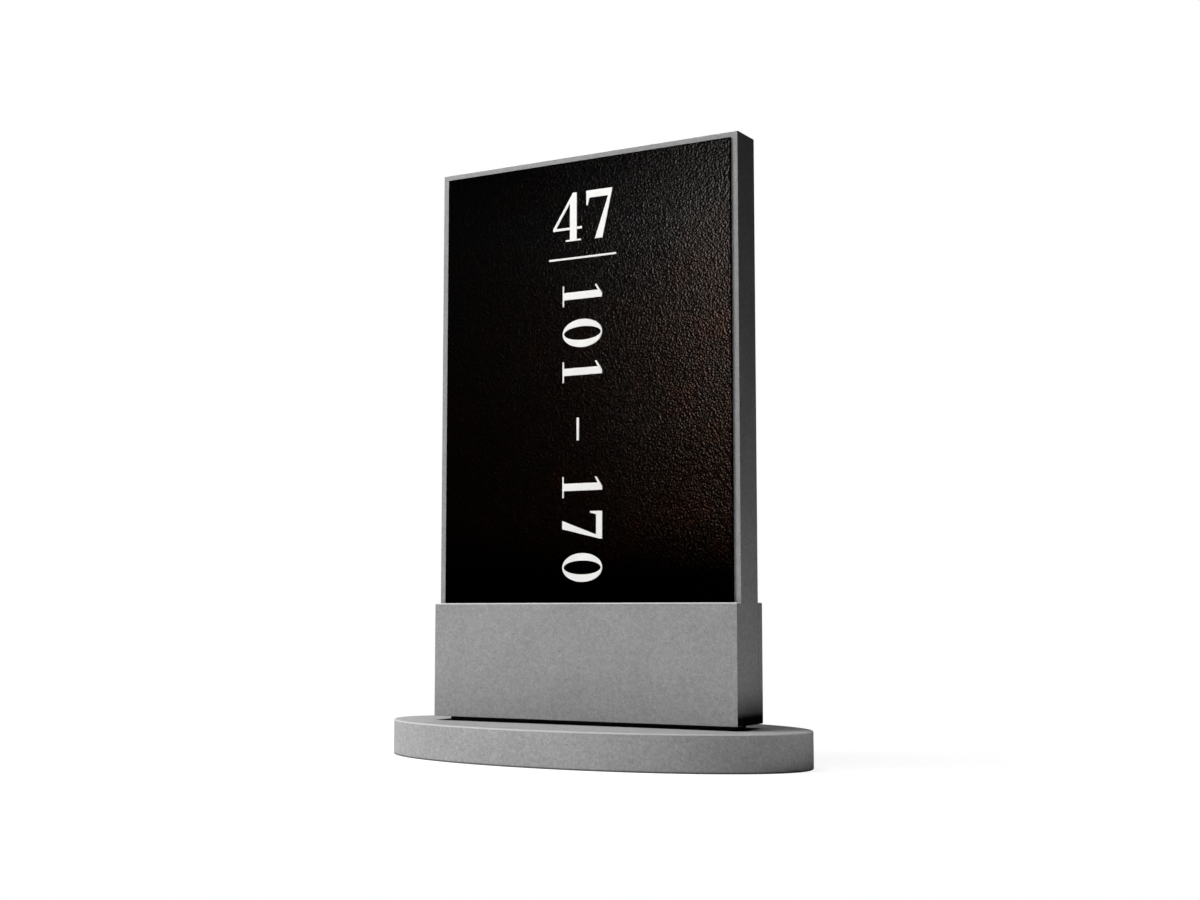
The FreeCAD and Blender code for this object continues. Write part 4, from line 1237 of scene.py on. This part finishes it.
    def start_glow(self, name):
        """A black material that gives its own white light."""
        material, tree, shader = self.start_plain(name)
        shader.inputs["Base Color"].default_value = (0.0, 0.0, 0.0, 1.0)
        shader.inputs["Emission Color"].default_value = (1.0, 1.0, 1.0, 1.0)
        return material, tree, shader.inputs["Emission Strength"]

    def show_in_gloss(self, thing, material):
        """Gives the thing its material and lets only glossy surfaces show it."""
        thing.data.materials.append(material)
        thing.visible_camera = False
        thing.visible_diffuse = False
        thing.visible_shadow = False
        thing.visible_transmission = False

    def add_cards(self):
        """Tall glowing cards at the corners, seen only in gloss, which paint a sheen into the plates'
        reflections from other sides.
        """
        material, tree, strength = self.start_glow("Pale card")
        feed(tree, CARD_GLOW, strength)
        for corner, (x, y) in CARD_PLACES.items():
            middle = Vector((x, y, CARD_HEIGHT))
            turn = (Vector((0.0, 0.0, CARD_HEIGHT)) - middle).to_track_quat("Z", "Y").to_euler()
            bpy.ops.object.select_all(action="DESELECT")
            bpy.ops.mesh.primitive_plane_add(size=1, location=middle, rotation=turn)
            bpy.ops.transform.resize(value=CARD_SIZE)
            self.show_in_gloss(settle(f"pale_card_{corner}"), material)

    def add_drapes(self):
        """Dark drapes in front and behind, open towards the sign, that only the plates' gloss shows: they
        paint a dark reflection into the plates, with a faint glow that rises further up.
        """
        material, tree, strength = self.start_glow("Dark drape")
        where = add_node(tree, "ShaderNodeTexCoord", "drape coordinates").outputs["Object"]
        height = split(tree, where, "height")["Z"]
        feed(tree, remap(tree, height, DRAPE_RISE, DRAPE_GLOW, "paler further up"), strength)
        for face, side in zip(FACES, ENDS):
            middle = Vector(DRAPE_MIDDLE)
            middle.y *= side
            half = Vector(DRAPE_SIZE) / 2
            drapes = start_block(f"dark_drapes_{face}", middle - half, middle + half)
            edit(drapes)
            choose(drapes, "FACE", lambda part: part.normal.y * side < -FACING)
            bpy.ops.mesh.delete(type="FACE")
            leave_edit()
            self.show_in_gloss(drapes, material)


OPERATORS = (
    SIGN_OT_make_slab,
    SIGN_OT_make_cladding,
    SIGN_OT_make_covers,
    SIGN_OT_make_plates,
    SIGN_OT_make_figures,
    SIGN_OT_dress_frame,
    SIGN_OT_dress_fixings,
    SIGN_OT_set_stage,
)


class SIGN_PT_sidebar(bpy.types.Panel):
    """Lists the sign's pieces and their settings"""

    bl_idname = "SIGN_PT_sidebar"
    bl_label = "Street number sign"
    bl_space_type = "VIEW_3D"
    bl_region_type = "UI"
    bl_category = "Sign"

    def draw(self, context):
        for operator in OPERATORS:
            self.layout.operator(operator.bl_idname)
        for name, group in SETTINGS:
            box = self.layout.box()
            box.label(text=name.replace("_", " ").capitalize())
            for setting in group.__annotations__:
                box.prop(getattr(context.scene, name), setting)


def register():
    for name, group in SETTINGS:
        bpy.utils.register_class(group)
        setattr(bpy.types.Scene, name, bpy.props.PointerProperty(type=group))
    for operator in OPERATORS:
        bpy.utils.register_class(operator)
    bpy.utils.register_class(SIGN_PT_sidebar)


def unregister():
    bpy.utils.unregister_class(SIGN_PT_sidebar)
    for operator in reversed(OPERATORS):
        bpy.utils.unregister_class(operator)
    for name, group in reversed(SETTINGS):
        delattr(bpy.types.Scene, name)
        bpy.utils.unregister_class(group)


def main():
    register()
    make_shared_effects()
    bpy.ops.sign.make_slab()
    bpy.ops.sign.make_cladding()
    bpy.ops.sign.make_covers()
    bpy.ops.sign.make_plates()
    bpy.ops.sign.make_figures()
    bpy.ops.sign.dress_frame()
    bpy.ops.sign.dress_fixings()
    bpy.ops.sign.set_stage()


if __name__ == "__main__":
    main()
